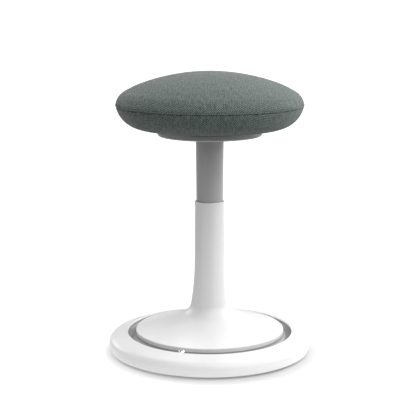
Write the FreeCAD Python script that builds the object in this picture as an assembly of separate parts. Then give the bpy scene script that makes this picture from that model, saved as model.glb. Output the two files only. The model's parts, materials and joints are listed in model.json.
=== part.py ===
import FreeCAD, Part
import math
import os

# Height-adjustable wobble stool. Millimetres, +Z up, origin on the floor under the column axis.
# Bodies: base with its covers, a ball that runs round the track, the swivelling piston rod,
# the seat on its gas cylinder, and the release ring with its three levers and valve pin.

os.makedirs("parts", exist_ok=True)

Vector = FreeCAD.Vector
UP = Vector(0, 0, 1)

# Clearances
glue_gap = 0.1
seat_gap = 0.05
running_gap = 0.05
body_gap = 0.3
taper_gap = 0.03
cover_gap = 0.6

# Base: overall form
base_radius = 190.0
base_height = 37.3
ring_width = 34.8
ring_slope_deg = 17.0
ring_shoulder_radius = 13.0
ring_tuck = 3.0
ring_lip_round = 1.2
cover_wall = 2.5
channel_width = 15.65

# Rocking sole and the pan above it
sole_flat_radius = 65.0
sole_inset = 12.0
sole_rise = 3.6
sole_thickness = 3.0
sole_groove_width = 2.5
sole_groove_depth = 1.0
sole_groove_radii = (24.0, 38.0, 52.0)
ring_above_sole_edge = 1.0
pan_floor = 3.0
pan_rim_wall = 3.0
pan_rim_height = 9.0
pan_rib = 2.0
pan_rib_count = 16
ring_rib_wall = 2.4

# Ballast
ballast_inner_radius = 67.0
ballast_to_disc_edge = 15.5
ballast_thickness = 14.0
ballast_clearance = 1.5
ballast_screw_count = 4
ballast_screw_circle = 95.0

# Ball and its track
trough_side_gap = 0.5
trough_depth = 9.8
ball_side_gap = 1.1
track_wall = 1.6
track_flange = 2.4
ball_rest_deg = 250.0

# Stem cover
stem_height = 286.0
stem_wall = 1.7
stem_lip_height = 3.0
stem_lip_step = 0.3
waist_spread = 1.0
flare_spread = 6.6
foot_spread = 19.0
flare_height = 63.2
foot_height = 21.1
disc_rise = 26.1
disc_step = 4.3
disc_edge_round = 1.8

# Cover screws
cover_screw_radius = 1.7
cover_screw_head_radius = 3.6
cover_screw_head = 2.0
cover_boss_radius = 4.5
ring_screw_count = 8
ring_screw_inset = 20.0
stem_screw_count = 6
stem_screw_inset = 8.5
boss_height = 4.5

# Column hub and stand tube
hub_flange_radius = 58.0
hub_flange = 6.0
hub_socket_wall = 7.0
hub_to_sleeve = 26.0
hub_rib_count = 6
hub_rib = 5.0
hub_screw_count = 6
hub_screw_circle = 48.0
hub_screw_radius = 3.0
tube_radius = 20.0
tube_wall = 2.5
tube_taper = 0.8
tube_foot_recess = 5.9
tube_below_lip = 9.0
end_plate = 4.0
bush_length = 70.0
bush_flange = 2.5

# Piston rod and its thrust bearing
rod_radius = 5.0
rod_end = 2.6
rod_groove_height = 1.4
rod_groove_depth = 1.0
clip_wall = 3.5
rod_hole_gap = 0.6
washer_radius = 13.5
washer = 1.5
thrust_ring = 2.5
buffer_radius = 11.5
buffer_height = 12.0
piston_height = 12.0
piston_gap = 0.2

# Gas cylinder and how far the seat travels on it
travel_up = 85.0
travel_down = 75.0
stop_clearance = 8.5
cylinder_radius = 14.0
cylinder_wall = 1.5
cylinder_plug = 22.0
taper_length = 50.0
taper_drop = 0.7
gland_height = 12.0

# Grey sleeve round the cylinder
sleeve_wall = 2.0
sleeve_tube_gap = 2.2
sleeve_draft = 1.7
sleeve_stem_gap = 0.3
sleeve_overlap = 22.0
sleeve_flange = 2.2
sleeve_flange_width = 9.2
sleeve_screw_count = 3
sleeve_screw_head_radius = 3.2
sleeve_screw_radius = 1.6

# Seat carrier
carrier_bottom_z = 419.0
carrier_plate = 3.0
carrier_radius = 81.0
socket_wall = 4.5
carrier_screw_count = 6
carrier_screw_inset = 7.0
carrier_screw_radius = 2.5
carrier_screw_head_radius = 5.0
carrier_screw_head = 2.2
carrier_screw_length = 14.0

# Release ring under the seat
release_margin = 15.6
release_drop = 10.0
release_wall = 2.5
release_edge_round = 3.5
release_travel = 4.0
release_rib_count = 12
release_rib_height = 1.5
post_circle = 60.0
post_radius = 3.0
post_dome_radius = 6.0
first_lever_deg = 90.0
lever_count = 3

# Guide screws and return springs of the release ring
guide_radius = 3.0
guide_head_radius = 5.6
guide_head = 2.4
guide_offset_deg = -60.0
spring_offset_deg = -30.0
spring_radius = 5.0
spring_wire = 0.9
spring_turns = 2

# Levers and valve pin
lever_pivot_radius = 22.0
lever_thickness = 3.0
lever_pivot_height = 7.5
lever_width = 12.0
lever_tip_radius = 2.5
lever_tip_width = 5.0
lever_overhang = 5.0
pivot_pin_radius = 2.0
bracket_wall = 2.0
bracket_half_width = 4.5
valve_pin_radius = 3.0
valve_cap_radius = 6.0
valve_cap = 3.0
valve_pin_length = 24.0

# Seat: outline of the cushion
seam_radius = 173.4
side_height = 43.0
crown_height = 61.0
shoulder_width = 18.6
shoulder_height = 27.3
belly_radius = 51.4
underside_step = 1.0
fabric = 1.2
welt_radius = 0.9

# Seat: what is inside
pan_wall = 3.5
pan_rim_below_seam = 6.0
board_height = 18.0
board_thickness = 8.0
board_edge_gap = 3.0
seat_rib_count = 12
seat_rib = 2.5
seat_boss_radius = 6.0
board_screw_count = 6
board_screw_inset = 38.0
board_screw_radius = 2.0
board_screw_head_radius = 4.0
board_screw_head = 2.0

# Radii worked out from the sizes above, from the middle outward
rod_groove_radius = rod_radius - rod_groove_depth
rod_hole_radius = rod_radius + rod_hole_gap
piston_radius = cylinder_radius - cylinder_wall - piston_gap
taper_end_radius = cylinder_radius - taper_drop
tube_bottom_radius = tube_radius - tube_taper
tube_bore_radius = tube_radius - tube_wall
sleeve_bottom_radius = tube_radius + sleeve_tube_gap + sleeve_wall
sleeve_top_radius = sleeve_bottom_radius + sleeve_draft
sleeve_flange_radius = sleeve_top_radius + sleeve_flange_width
sleeve_screw_circle = (sleeve_top_radius + sleeve_flange_radius) / 2
stem_bore_radius = sleeve_top_radius + sleeve_stem_gap
stem_neck_radius = stem_bore_radius + stem_wall
stem_lip_radius = stem_neck_radius + stem_lip_step
stem_waist_radius = stem_neck_radius + waist_spread
stem_flare_radius = stem_waist_radius + flare_spread
stem_foot_radius = stem_flare_radius + foot_spread
ring_lip_radius = base_radius - ring_width
disc_radius = ring_lip_radius - channel_width
track_radius = (ring_lip_radius + disc_radius) / 2
trough_radius = channel_width / 2 - trough_side_gap
ball_radius = trough_radius - ball_side_gap
ballast_outer_radius = disc_radius - ballast_to_disc_edge
stem_screw_circle = disc_radius - stem_screw_inset
ring_screw_circle = base_radius - ring_screw_inset
ring_bottom_radius = base_radius - ring_tuck
sole_radius = base_radius - sole_inset
release_radius = carrier_radius + release_margin
release_hole_radius = stem_bore_radius + 1.0
carrier_screw_circle = carrier_radius - carrier_screw_inset
seat_pan_hole_radius = carrier_screw_circle - seat_boss_radius
seat_rib_inner_radius = carrier_radius + 3.0
lever_end_radius = post_circle + lever_overhang

# Heights worked out from the sizes above, from the floor upward
sole_arc_radius = (sole_radius - sole_flat_radius) ** 2 / (2 * sole_rise)
ring_bottom_z = sole_rise + ring_above_sole_edge
pan_bottom_z = sole_thickness + glue_gap
hub_bottom_z = pan_bottom_z + pan_floor + seat_gap
tube_bottom_z = hub_bottom_z + tube_foot_recess
rod_groove_z = tube_bottom_z - rod_end
rod_bottom_z = rod_groove_z - rod_groove_height
thrust_bottom_z = tube_bottom_z + end_plate + seat_gap
thrust_ring_z = thrust_bottom_z + washer + seat_gap
upper_washer_z = thrust_ring_z + thrust_ring + body_gap
buffer_bottom_z = upper_washer_z + washer + seat_gap
buffer_top_z = buffer_bottom_z + buffer_height
cylinder_bottom_z = buffer_top_z + travel_down + stop_clearance
piston_bottom_z = cylinder_bottom_z + gland_height + travel_up + stop_clearance
trough_bottom_z = base_height - trough_depth
trough_centre_z = trough_bottom_z + trough_radius
ball_z = trough_bottom_z + body_gap + ball_radius
disc_edge_z = base_height + disc_step
stem_foot_z = disc_edge_z + disc_rise
stem_flare_z = stem_foot_z + foot_height
stem_waist_z = stem_flare_z + flare_height
tube_top_z = stem_height - tube_below_lip
bush_top_z = tube_top_z + bush_flange
sleeve_bottom_z = stem_height - travel_up - sleeve_overlap
hub_top_z = sleeve_bottom_z - travel_down - hub_to_sleeve
carrier_top_z = carrier_bottom_z + carrier_plate
cylinder_top_z = carrier_top_z + 0.2
lever_z = carrier_top_z + lever_pivot_height
lever_bottom_z = lever_z - lever_thickness / 2
valve_cap_top_z = lever_bottom_z - body_gap
underside_z = carrier_top_z + underside_step
release_bottom_z = carrier_bottom_z - release_drop
release_floor_z = release_bottom_z + release_wall
release_top_z = underside_z - 2 * body_gap - release_travel
seam_z = underside_z + side_height
seat_top_z = seam_z + crown_height
board_z = carrier_top_z + board_height
board_top_z = board_z + board_thickness


def save(shape, name):
    """Writes one node as a STEP file."""
    shape.exportStep(os.path.join("parts", name + ".step"))


def polar(radius, degrees, z=0.0):
    """Returns the point at a radius, an angle from +X and a height."""
    angle = math.radians(degrees)
    return Vector(radius * math.cos(angle), radius * math.sin(angle), z)


def spaced(count, first_deg=0.0):
    """Returns evenly spaced angles."""
    return [first_deg + 360.0 * step / count for step in range(count)]


def cylinder(radius, bottom, top, at=Vector(0, 0, 0)):
    """Returns an upright cylinder between two heights."""
    return Part.makeCylinder(radius, top - bottom, Vector(at.x, at.y, bottom), UP)


def tube(outer, inner, bottom, top):
    """Returns a straight tube between two heights."""
    return cylinder(outer, bottom, top).cut(cylinder(inner, bottom - 1, top + 1))


def cylinders_on_circle(count, circle, radius, bottom, top, first_deg=0.0):
    """Returns separate upright cylinders on a circle."""
    return [cylinder(radius, bottom, top, polar(circle, deg)) for deg in spaced(count, first_deg)]


def turned(block, degrees):
    """Returns a copy turned about the column axis."""
    copy = block.copy()
    copy.rotate(Vector(0, 0, 0), UP, degrees)
    return copy


def radial_block(inner, outer, width, bottom, top, degrees):
    """Returns a block that runs outward from the axis at an angle."""
    block = Part.makeBox(outer - inner, width, top - bottom, Vector(inner, -width / 2, bottom))
    return turned(block, degrees)


def hexagon(at, radius, bottom, top):
    """Returns an upright hexagonal prism."""
    corners = [Vector(at.x, at.y, 0) + polar(radius, deg, bottom) for deg in spaced(6)]
    return Part.Face(Part.makePolygon(corners + corners[:1])).extrude(Vector(0, 0, top - bottom))


class Profile:
    """Half section in the XZ plane, drawn with lines and arcs and turned about the axis."""

    def __init__(self, radius, z):
        self.start = Vector(radius, 0, z)
        self.here = self.start
        self.edges = []

    def line(self, radius, z):
        """Draws a straight line to a point."""
        end = Vector(radius, 0, z)
        if end.distanceToPoint(self.here) > 1e-6:
            self.edges.append(Part.LineSegment(self.here, end).toShape())
        self.here = end
        return self

    def bow(self, radius, z, rise):
        """Draws an arc to a point; a positive rise bulges to the left of the way it is drawn."""
        end = Vector(radius, 0, z)
        way = end - self.here
        left = Vector(-way.z, 0, way.x).normalize()
        middle = (self.here + end) * 0.5 + left * rise
        self.edges.append(Part.Arc(self.here, middle, end).toShape())
        self.here = end
        return self

    def round(self, centre, radius, z):
        """Draws the shorter arc round a centre to a point."""
        hub = Vector(centre[0], 0, centre[1])
        end = Vector(radius, 0, z)
        outward = ((self.here - hub) + (end - hub)).normalize()
        middle = hub + outward * (end - hub).Length
        self.edges.append(Part.Arc(self.here, middle, end).toShape())
        self.here = end
        return self

    def revolve(self):
        """Closes the section and returns the turned solid."""
        self.line(self.start.x, self.start.z)
        face = Part.Face(Part.Wire(self.edges))
        return face.revolve(Vector(0, 0, 0), UP, 360)


# Base

def pan_z(radius, offset):
    """Returns the height of the pan's dished floor, or of a face parallel to it, at a radius."""
    reach = max(radius - sole_flat_radius, 0.0)
    return offset + sole_rise * reach / (sole_radius - sole_flat_radius)


def make_sole():
    """Rubber sole: flat in the middle, domed to the edge, with three grooves."""
    outline = Profile(0, 0).line(sole_flat_radius, 0)
    outline.round((sole_flat_radius, sole_arc_radius), sole_radius, sole_edge_z())
    outline.line(sole_radius, pan_z(sole_radius, sole_thickness))
    outline.line(sole_flat_radius, sole_thickness).line(0, sole_thickness)
    sole = outline.revolve()
    for radius in sole_groove_radii:
        sole = sole.cut(tube(radius + sole_groove_width, radius, -1, sole_groove_depth))
    return sole


def sole_edge_z():
    """Returns how high the rocking curve stands off the floor at the sole's edge."""
    reach = sole_radius - sole_flat_radius
    return sole_arc_radius - math.sqrt(sole_arc_radius ** 2 - reach ** 2)


def make_base_pan():
    """Ribbed pan that carries everything in the base."""
    rim_outer = ring_bottom_radius - cover_wall - cover_gap
    rim_inner = rim_outer - pan_rim_wall
    floor_z = pan_bottom_z + pan_floor
    rim_bottom = pan_z(sole_radius, pan_bottom_z)
    rim_floor = pan_z(sole_radius, floor_z)
    outline = Profile(0, pan_bottom_z).line(sole_flat_radius, pan_bottom_z).line(sole_radius, rim_bottom)
    outline.line(rim_outer, rim_bottom).line(rim_outer, rim_floor + pan_rim_height)
    outline.line(rim_inner, rim_floor + pan_rim_height).line(rim_inner, rim_floor)
    outline.line(sole_radius, rim_floor).line(sole_flat_radius, floor_z).line(0, floor_z)
    pan = outline.revolve()

    root = pan_bottom_z + pan_floor / 2
    adds = []
    for inner in (ballast_inner_radius - 1 - ring_rib_wall, ballast_outer_radius + 0.5):
        adds.append(tube(inner + ring_rib_wall, inner, pan_z(inner, root), ballast_z() + 4))
    middle = (ballast_inner_radius + ballast_outer_radius) / 2 + 12
    adds.append(tube(middle, middle - ring_rib_wall, pan_z(middle, root), ballast_z()))
    track_rib_z = trough_bottom_z - track_wall - seat_gap
    adds.append(tube(track_radius + 2, track_radius - 2, pan_z(track_radius, root), track_rib_z))
    rib_root = pan_z(ballast_outer_radius, root) + 1
    rib_z = trough_bottom_z - track_wall - 4
    for degrees in spaced(pan_rib_count, 180.0 / pan_rib_count):
        adds.append(radial_block(ballast_outer_radius + 1, rim_inner + 1, pan_rib, rib_root,
                                 min(rib_z, rim_floor + pan_rim_height), degrees))
    for count, circle, radius in ((ring_screw_count, ring_screw_circle, cover_boss_radius + 0.5),
                                  (stem_screw_count, stem_screw_circle, cover_boss_radius)):
        adds += cylinders_on_circle(count, circle, radius, pan_z(circle, root), boss_z(circle))
    adds += cylinders_on_circle(ballast_screw_count, ballast_screw_circle, 6,
                                pan_z(ballast_screw_circle, root), ballast_z(), 45.0)
    pan = pan.multiFuse(adds)

    cuts = []
    for count, circle in ((ring_screw_count, ring_screw_circle), (stem_screw_count, stem_screw_circle)):
        cuts += cylinders_on_circle(count, circle, cover_screw_radius + 0.2, 0, boss_z(circle) + 1)
        cuts += cylinders_on_circle(count, circle, cover_screw_head_radius + 0.3, 0, screw_seat_z(circle))
    for count, circle, first in ((ballast_screw_count, ballast_screw_circle, 45.0),
                                 (hub_screw_count, hub_screw_circle, 0.0)):
        blind = pan_z(circle, pan_bottom_z) + 1.5
        cuts += cylinders_on_circle(count, circle, hub_screw_radius + seat_gap, blind, ballast_z() + 1, first)
    return pan.cut(Part.makeCompound(cuts)).removeSplitter()


def ballast_z():
    """Returns the height of the ribs that the ballast lies on."""
    return pan_z(ballast_outer_radius, pan_bottom_z + pan_floor) + ballast_clearance


def boss_z(circle):
    """Returns the height at which a pan boss meets its cover's boss."""
    return pan_z(circle, pan_bottom_z + pan_floor) + boss_height


def screw_seat_z(circle):
    """Returns the height of the counterbore that a cover screw's head bears on."""
    return pan_z(circle, pan_bottom_z) + cover_screw_head + 0.6


def make_cover_screws(count, circle):
    """Screws driven up through the pan into a cover's bosses."""
    seat = screw_seat_z(circle)
    screws = []
    for degrees in spaced(count):
        at = polar(circle, degrees)
        head = cylinder(cover_screw_head_radius, seat - cover_screw_head, seat, at)
        shank = cylinder(cover_screw_radius, seat, boss_z(circle) + 8, at)
        screws.append(head.fuse(shank).removeSplitter())
    return Part.makeCompound(screws)


def make_ballast():
    """Cast ring that keeps the stool upright, chamfered, with counterbored holes."""
    bottom = ballast_z() + seat_gap
    top = bottom + ballast_thickness
    chamfer = 2.0
    outline = Profile(ballast_inner_radius, bottom).line(ballast_outer_radius, bottom)
    outline.line(ballast_outer_radius, top - chamfer).line(ballast_outer_radius - chamfer, top)
    outline.line(ballast_inner_radius + chamfer, top).line(ballast_inner_radius, top - chamfer)
    ring = outline.revolve()
    holes = cylinders_on_circle(ballast_screw_count, ballast_screw_circle, hub_screw_radius + 0.4,
                                0, top + 1, 45.0)
    holes += cylinders_on_circle(ballast_screw_count, ballast_screw_circle, hub_screw_radius * 2 + 0.5,
                                 top - hub_screw_radius * 2, top + 1, 45.0)
    return ring.cut(Part.makeCompound(holes))


def socket_screws(count, circle, seat_z, first_deg=0.0):
    """Socket-head screws on a circle, heads up, each with its hexagon socket."""
    screws = []
    head_top = seat_z + hub_screw_radius * 1.6
    bottom = pan_z(circle, pan_bottom_z) + 1.6
    for degrees in spaced(count, first_deg):
        at = polar(circle, degrees)
        screw = cylinder(hub_screw_radius, bottom, seat_z, at)
        screw = screw.fuse(cylinder(hub_screw_radius * 1.7, seat_z, head_top, at))
        socket = hexagon(at, hub_screw_radius * 0.9, head_top - hub_screw_radius * 0.8, head_top + 1)
        screws.append(screw.cut(socket).removeSplitter())
    return Part.makeCompound(screws)


def make_ballast_screws():
    """Screws that hold the ballast ring to the pan."""
    counterbore_z = ballast_z() + seat_gap + ballast_thickness - hub_screw_radius * 2
    return socket_screws(ballast_screw_count, ballast_screw_circle, counterbore_z, 45.0)


def tube_foot_radius(z, gap=0.0):
    """Returns the radius of the stand tube's foot taper at a height."""
    share = (z - tube_bottom_z) / (hub_top_z - tube_bottom_z)
    return tube_bottom_radius + (tube_radius - tube_bottom_radius) * share + gap


def make_hub():
    """Cast hub: flange, ribs and the socket that the stand tube's taper stands in."""
    flange_top = hub_bottom_z + hub_flange
    outer = tube_radius + hub_socket_wall
    recess = tube_bottom_radius - 3
    outline = Profile(recess, hub_bottom_z)
    outline.line(hub_flange_radius, hub_bottom_z).line(hub_flange_radius, flange_top)
    outline.line(outer + 6, flange_top).bow(outer, flange_top + 7, -1.6).line(outer - 2, hub_top_z)
    outline.line(tube_foot_radius(hub_top_z, taper_gap), hub_top_z)
    outline.line(tube_foot_radius(tube_bottom_z, taper_gap), tube_bottom_z - seat_gap)
    outline.line(recess, tube_bottom_z - seat_gap)
    hub = outline.revolve()
    ribs = []
    for degrees in spaced(hub_rib_count, 180.0 / hub_rib_count):
        corners = [Vector(outer - 4, -hub_rib / 2, flange_top - 1),
                   Vector(hub_flange_radius - 3, -hub_rib / 2, flange_top - 1),
                   Vector(hub_flange_radius - 3, -hub_rib / 2, flange_top + 2),
                   Vector(outer - 3, -hub_rib / 2, hub_top_z - 8)]
        web = Part.Face(Part.makePolygon(corners + corners[:1])).extrude(Vector(0, hub_rib, 0))
        ribs.append(turned(web, degrees))
    hub = hub.multiFuse(ribs)
    holes = cylinders_on_circle(hub_screw_count, hub_screw_circle, hub_screw_radius + 0.4, 0, flange_top + 1)
    return hub.cut(Part.makeCompound(holes)).removeSplitter()


def make_ball_track():
    """Grey trough that the ball runs in, with a flange each side for the covers."""
    flange_z = trough_centre_z
    inner = disc_radius - cover_wall
    outer = ring_lip_radius + track_flange
    under_z = flange_z - track_wall
    deep = trough_radius + track_wall
    reach = math.sqrt(deep ** 2 - track_wall ** 2)
    outline = Profile(inner, flange_z).line(track_radius - trough_radius, flange_z)
    outline.bow(track_radius + trough_radius, flange_z, -trough_radius)
    outline.line(outer, flange_z).line(outer, under_z).line(track_radius + reach, under_z)
    outline.bow(track_radius - reach, under_z, deep - track_wall)
    outline.line(inner, under_z)
    return outline.revolve()


def ring_shoulder(inset):
    """Returns where the ring cover's slope meets its shoulder arc, and the arc's centre."""
    slope = math.radians(ring_slope_deg)
    crest_r = ring_lip_radius + ring_lip_round
    centre_r = base_radius - ring_shoulder_radius
    run = centre_r + ring_shoulder_radius * math.sin(slope) - crest_r
    centre_z = base_height - run * math.tan(slope) - ring_shoulder_radius * math.cos(slope)
    radius = ring_shoulder_radius - inset
    meeting = (centre_r + radius * math.sin(slope), centre_z + radius * math.cos(slope))
    return meeting, (centre_r, centre_z)


def make_ring_cover():
    """White outer cover of the base: lip, slope, round shoulder and tucked-in side."""
    slope = math.tan(math.radians(ring_slope_deg))
    meeting, centre = ring_shoulder(0)
    in_meeting, _ = ring_shoulder(cover_wall)
    lip_bottom = trough_centre_z + seat_gap
    lip_inner = ring_lip_radius + cover_wall
    in_radius = ring_shoulder_radius - cover_wall
    under_z = in_meeting[1] + (in_meeting[0] - lip_inner) * slope
    outline = Profile(ring_lip_radius, lip_bottom).line(ring_lip_radius, base_height - ring_lip_round)
    outline.bow(ring_lip_radius + ring_lip_round, base_height, 0.3 * ring_lip_round)
    outline.line(*meeting).round(centre, centre[0] + ring_shoulder_radius, centre[1])
    outline.bow(ring_bottom_radius, ring_bottom_z, 0.7)
    outline.line(ring_bottom_radius - cover_wall, ring_bottom_z)
    outline.bow(centre[0] + in_radius, centre[1], -0.7).round(centre, *in_meeting)
    if under_z > lip_bottom:
        outline.line(lip_inner, under_z)
    outline.line(lip_inner, lip_bottom)
    cover = outline.revolve()
    boss_top = in_meeting[1] + (in_meeting[0] - ring_screw_circle) * slope + cover_wall / 2
    bosses = cylinders_on_circle(ring_screw_count, ring_screw_circle, cover_boss_radius,
                                 boss_z(ring_screw_circle) + seat_gap, boss_top)
    holes = cylinders_on_circle(ring_screw_count, ring_screw_circle, cover_screw_radius + seat_gap,
                                0, boss_z(ring_screw_circle) + 9)
    return cover.multiFuse(bosses).cut(Part.makeCompound(holes)).removeSplitter()


def make_stem_cover():
    """White cover: lip, slim stem, flared foot and the disc inside the ball track."""
    wall = cover_wall
    edge = disc_edge_round
    soft = 0.6
    flare_rise = 0.9
    foot_rise = 3.6
    disc_bow = 1.7
    neck_z = stem_height - stem_lip_height
    rim_bottom = trough_centre_z + seat_gap
    outline = Profile(stem_bore_radius, stem_height).line(stem_lip_radius - soft, stem_height)
    outline.bow(stem_lip_radius, stem_height - soft, 0.29 * soft)
    outline.line(stem_lip_radius, neck_z).line(stem_neck_radius, neck_z - stem_lip_step)
    outline.line(stem_waist_radius, stem_waist_z)
    outline.bow(stem_flare_radius, stem_flare_z, -flare_rise)
    outline.bow(stem_foot_radius, stem_foot_z, -foot_rise)
    outline.bow(disc_radius - edge, disc_edge_z + 0.4, -disc_bow)
    outline.bow(disc_radius, disc_edge_z - edge, 0.6)
    outline.line(disc_radius, rim_bottom).line(disc_radius - wall, rim_bottom)
    outline.line(disc_radius - wall, disc_edge_z - wall)
    outline.bow(stem_foot_radius - wall * 0.35, stem_foot_z - wall * 0.94, disc_bow)
    outline.bow(stem_flare_radius - wall, stem_flare_z - wall * 0.15, foot_rise * 1.15)
    outline.bow(stem_bore_radius, stem_waist_z, flare_rise)
    cover = outline.revolve()

    share = (stem_screw_circle - stem_foot_radius) / (disc_radius - stem_foot_radius)
    underside = stem_foot_z + (disc_edge_z - stem_foot_z) * share - wall
    bosses = cylinders_on_circle(stem_screw_count, stem_screw_circle, cover_boss_radius - 0.5,
                                 boss_z(stem_screw_circle) + seat_gap, underside)
    holes = cylinders_on_circle(stem_screw_count, stem_screw_circle, cover_screw_radius + seat_gap,
                                0, boss_z(stem_screw_circle) + 9)
    return cover.multiFuse(bosses).cut(Part.makeCompound(holes)).removeSplitter()


def make_stand_tube():
    """Steel tube with a foot taper that stands in the hub."""
    outline = Profile(tube_bore_radius, tube_bottom_z).line(tube_bottom_radius, tube_bottom_z)
    outline.line(tube_radius, hub_top_z).line(tube_radius, tube_top_z)
    outline.line(tube_bore_radius, tube_top_z)
    return outline.revolve()


def make_end_plate():
    """Plate swaged into the foot of the stand tube; the rod turns in its hole."""
    return tube(tube_bore_radius - seat_gap, rod_hole_radius, tube_bottom_z, tube_bottom_z + end_plate)


def make_guide_bush():
    """Plastic bush that guides the gas cylinder, with a flange over the tube's end."""
    bore = cylinder_radius + running_gap
    body = tube(tube_bore_radius - seat_gap, bore, tube_top_z - bush_length, bush_top_z)
    flange = tube(tube_radius, bore, tube_top_z + seat_gap, bush_top_z)
    return body.fuse(flange).removeSplitter()


def make_track_ball():
    """Ball at its place in the track."""
    return Part.makeSphere(ball_radius, polar(track_radius, ball_rest_deg, ball_z))


# Piston rod: swivels on its thrust bearing

def make_rod():
    """Piston rod with the groove for its clip."""
    rod = cylinder(rod_radius, rod_bottom_z, piston_bottom_z + piston_height)
    return rod.cut(tube(rod_radius + 1, rod_groove_radius, rod_groove_z, rod_groove_z + rod_groove_height))


def make_clip():
    """Open retaining clip in the rod's groove, under the end plate."""
    bottom = rod_groove_z + seat_gap
    top = rod_groove_z + rod_groove_height - seat_gap
    ring = tube(rod_groove_radius + clip_wall, rod_groove_radius + seat_gap, bottom, top)
    mouth = Part.makeBox(rod_groove_radius + clip_wall + 1, rod_groove_radius * 1.5, top - bottom + 2,
                         Vector(0, -rod_groove_radius * 0.75, bottom - 1))
    return ring.cut(mouth)


def make_piston():
    """Piston on the rod, with a groove for its seal."""
    top = piston_bottom_z + piston_height
    middle = (piston_bottom_z + top) / 2
    body = tube(piston_radius, rod_radius + seat_gap, piston_bottom_z, top)
    return body.cut(tube(piston_radius + 1, piston_radius - 1.5, middle - 1.5, middle + 1.5))


def make_buffer():
    """Rubber buffer under the cylinder, waisted so that it can squash."""
    outline = Profile(rod_radius + seat_gap, buffer_bottom_z).line(buffer_radius, buffer_bottom_z)
    outline.bow(buffer_radius, buffer_top_z, 1.5).line(rod_radius + seat_gap, buffer_top_z)
    return outline.revolve()


# Seat column

def cylinder_taper_radius(z):
    """Returns the radius of the gas cylinder's top taper at a height."""
    share = (z - (cylinder_top_z - taper_length)) / taper_length
    return cylinder_radius + (taper_end_radius - cylinder_radius) * share


def make_gas_cylinder():
    """Gas cylinder: plain below, tapered at the top, closed there but for the valve pin's hole."""
    bore = cylinder_radius - cylinder_wall
    chamber_top = cylinder_top_z - cylinder_plug
    outline = Profile(bore, cylinder_bottom_z).line(cylinder_radius, cylinder_bottom_z)
    outline.line(cylinder_radius, cylinder_top_z - taper_length)
    outline.line(taper_end_radius, cylinder_top_z)
    outline.line(valve_pin_radius + running_gap, cylinder_top_z)
    outline.line(valve_pin_radius + running_gap, chamber_top).line(bore, chamber_top)
    return outline.revolve()


def make_gland():
    """Gland that closes the cylinder round the rod."""
    return tube(cylinder_radius - cylinder_wall - seat_gap, rod_radius + running_gap, cylinder_bottom_z,
                cylinder_bottom_z + gland_height)


def make_sleeve():
    """Grey sleeve that hangs from the carrier and slides into the stem, with a slight draft."""
    top = carrier_bottom_z - seat_gap
    flange_z = top - sleeve_flange
    chamfer = 0.8
    outline = Profile(sleeve_bottom_radius - sleeve_wall, sleeve_bottom_z)
    outline.line(sleeve_bottom_radius - chamfer, sleeve_bottom_z)
    outline.line(sleeve_bottom_radius, sleeve_bottom_z + chamfer)
    outline.line(sleeve_top_radius, flange_z).line(sleeve_flange_radius, flange_z)
    outline.line(sleeve_flange_radius, top).line(sleeve_top_radius - sleeve_wall, top)
    holes = [sleeve_screw(degrees, 0.1) for degrees in sleeve_screw_angles()]
    return outline.revolve().cut(Part.makeCompound(holes))


def sleeve_screw_angles():
    """Returns the angles of the sleeve's screws, clear of the levers' brackets."""
    return spaced(sleeve_screw_count, first_lever_deg - 60.0)


def sleeve_screw(degrees, gap):
    """Returns a countersunk screw through the sleeve's flange, or with a gap its hole."""
    at = polar(sleeve_screw_circle, degrees)
    bottom = carrier_bottom_z - seat_gap - sleeve_flange
    cone = Part.makeCone(sleeve_screw_head_radius + gap, sleeve_screw_radius + gap,
                         sleeve_screw_head_radius - sleeve_screw_radius, Vector(at.x, at.y, bottom), UP)
    return cone.fuse(cylinder(sleeve_screw_radius + gap, bottom, carrier_top_z + 1, at)).removeSplitter()


def make_sleeve_screws():
    """Countersunk screws that hold the sleeve to the carrier."""
    return Part.makeCompound([sleeve_screw(degrees, 0) for degrees in sleeve_screw_angles()])


def make_carrier():
    """Steel seat carrier: plate, taper socket and lever brackets welded together."""
    socket_bottom = cylinder_top_z - taper_length
    bore_low = cylinder_radius + taper_gap
    bore_high = cylinder_taper_radius(carrier_top_z) + taper_gap
    outline = Profile(bore_low, socket_bottom).line(bore_low + socket_wall, socket_bottom)
    outline.line(bore_low + socket_wall, carrier_bottom_z).line(carrier_radius, carrier_bottom_z)
    outline.line(carrier_radius, carrier_top_z).line(bore_high, carrier_top_z)
    angles = spaced(lever_count, first_lever_deg)
    cheeks = [turned(bracket_cheek(side), degrees) for degrees in angles for side in (-1, 1)]
    carrier = outline.revolve().multiFuse(cheeks)
    top = carrier_top_z + 1
    cuts = cylinders_on_circle(lever_count, post_circle, post_radius + 1.5, carrier_bottom_z - 1, top,
                               first_lever_deg)
    cuts += cylinders_on_circle(lever_count, post_circle, guide_radius - 0.5 + seat_gap,
                                carrier_bottom_z - 1, top, first_lever_deg + guide_offset_deg)
    cuts += cylinders_on_circle(carrier_screw_count, carrier_screw_circle, carrier_screw_radius + 0.3,
                                carrier_bottom_z - 1, top)
    cuts += [sleeve_screw(degrees, 0.05) for degrees in sleeve_screw_angles()]
    return carrier.cut(Part.makeCompound(cuts)).removeSplitter()


def bracket_cheek(side):
    """Returns one cheek of the lever bracket on +X: round head, square foot, pin hole."""
    inside = lever_width / 2 + body_gap
    low_y = inside if side > 0 else -inside - bracket_wall
    foot = carrier_top_z - 1
    across = Vector(0, 1, 0)
    pivot = Vector(lever_pivot_radius, low_y, lever_z)
    block = Part.makeBox(2 * bracket_half_width, bracket_wall, lever_z - foot,
                         Vector(lever_pivot_radius - bracket_half_width, low_y, foot))
    head = Part.makeCylinder(bracket_half_width, bracket_wall, pivot, across)
    hole = Part.makeCylinder(pivot_pin_radius + seat_gap, bracket_wall + 2, pivot - across, across)
    return block.fuse(head).cut(hole)


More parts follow.
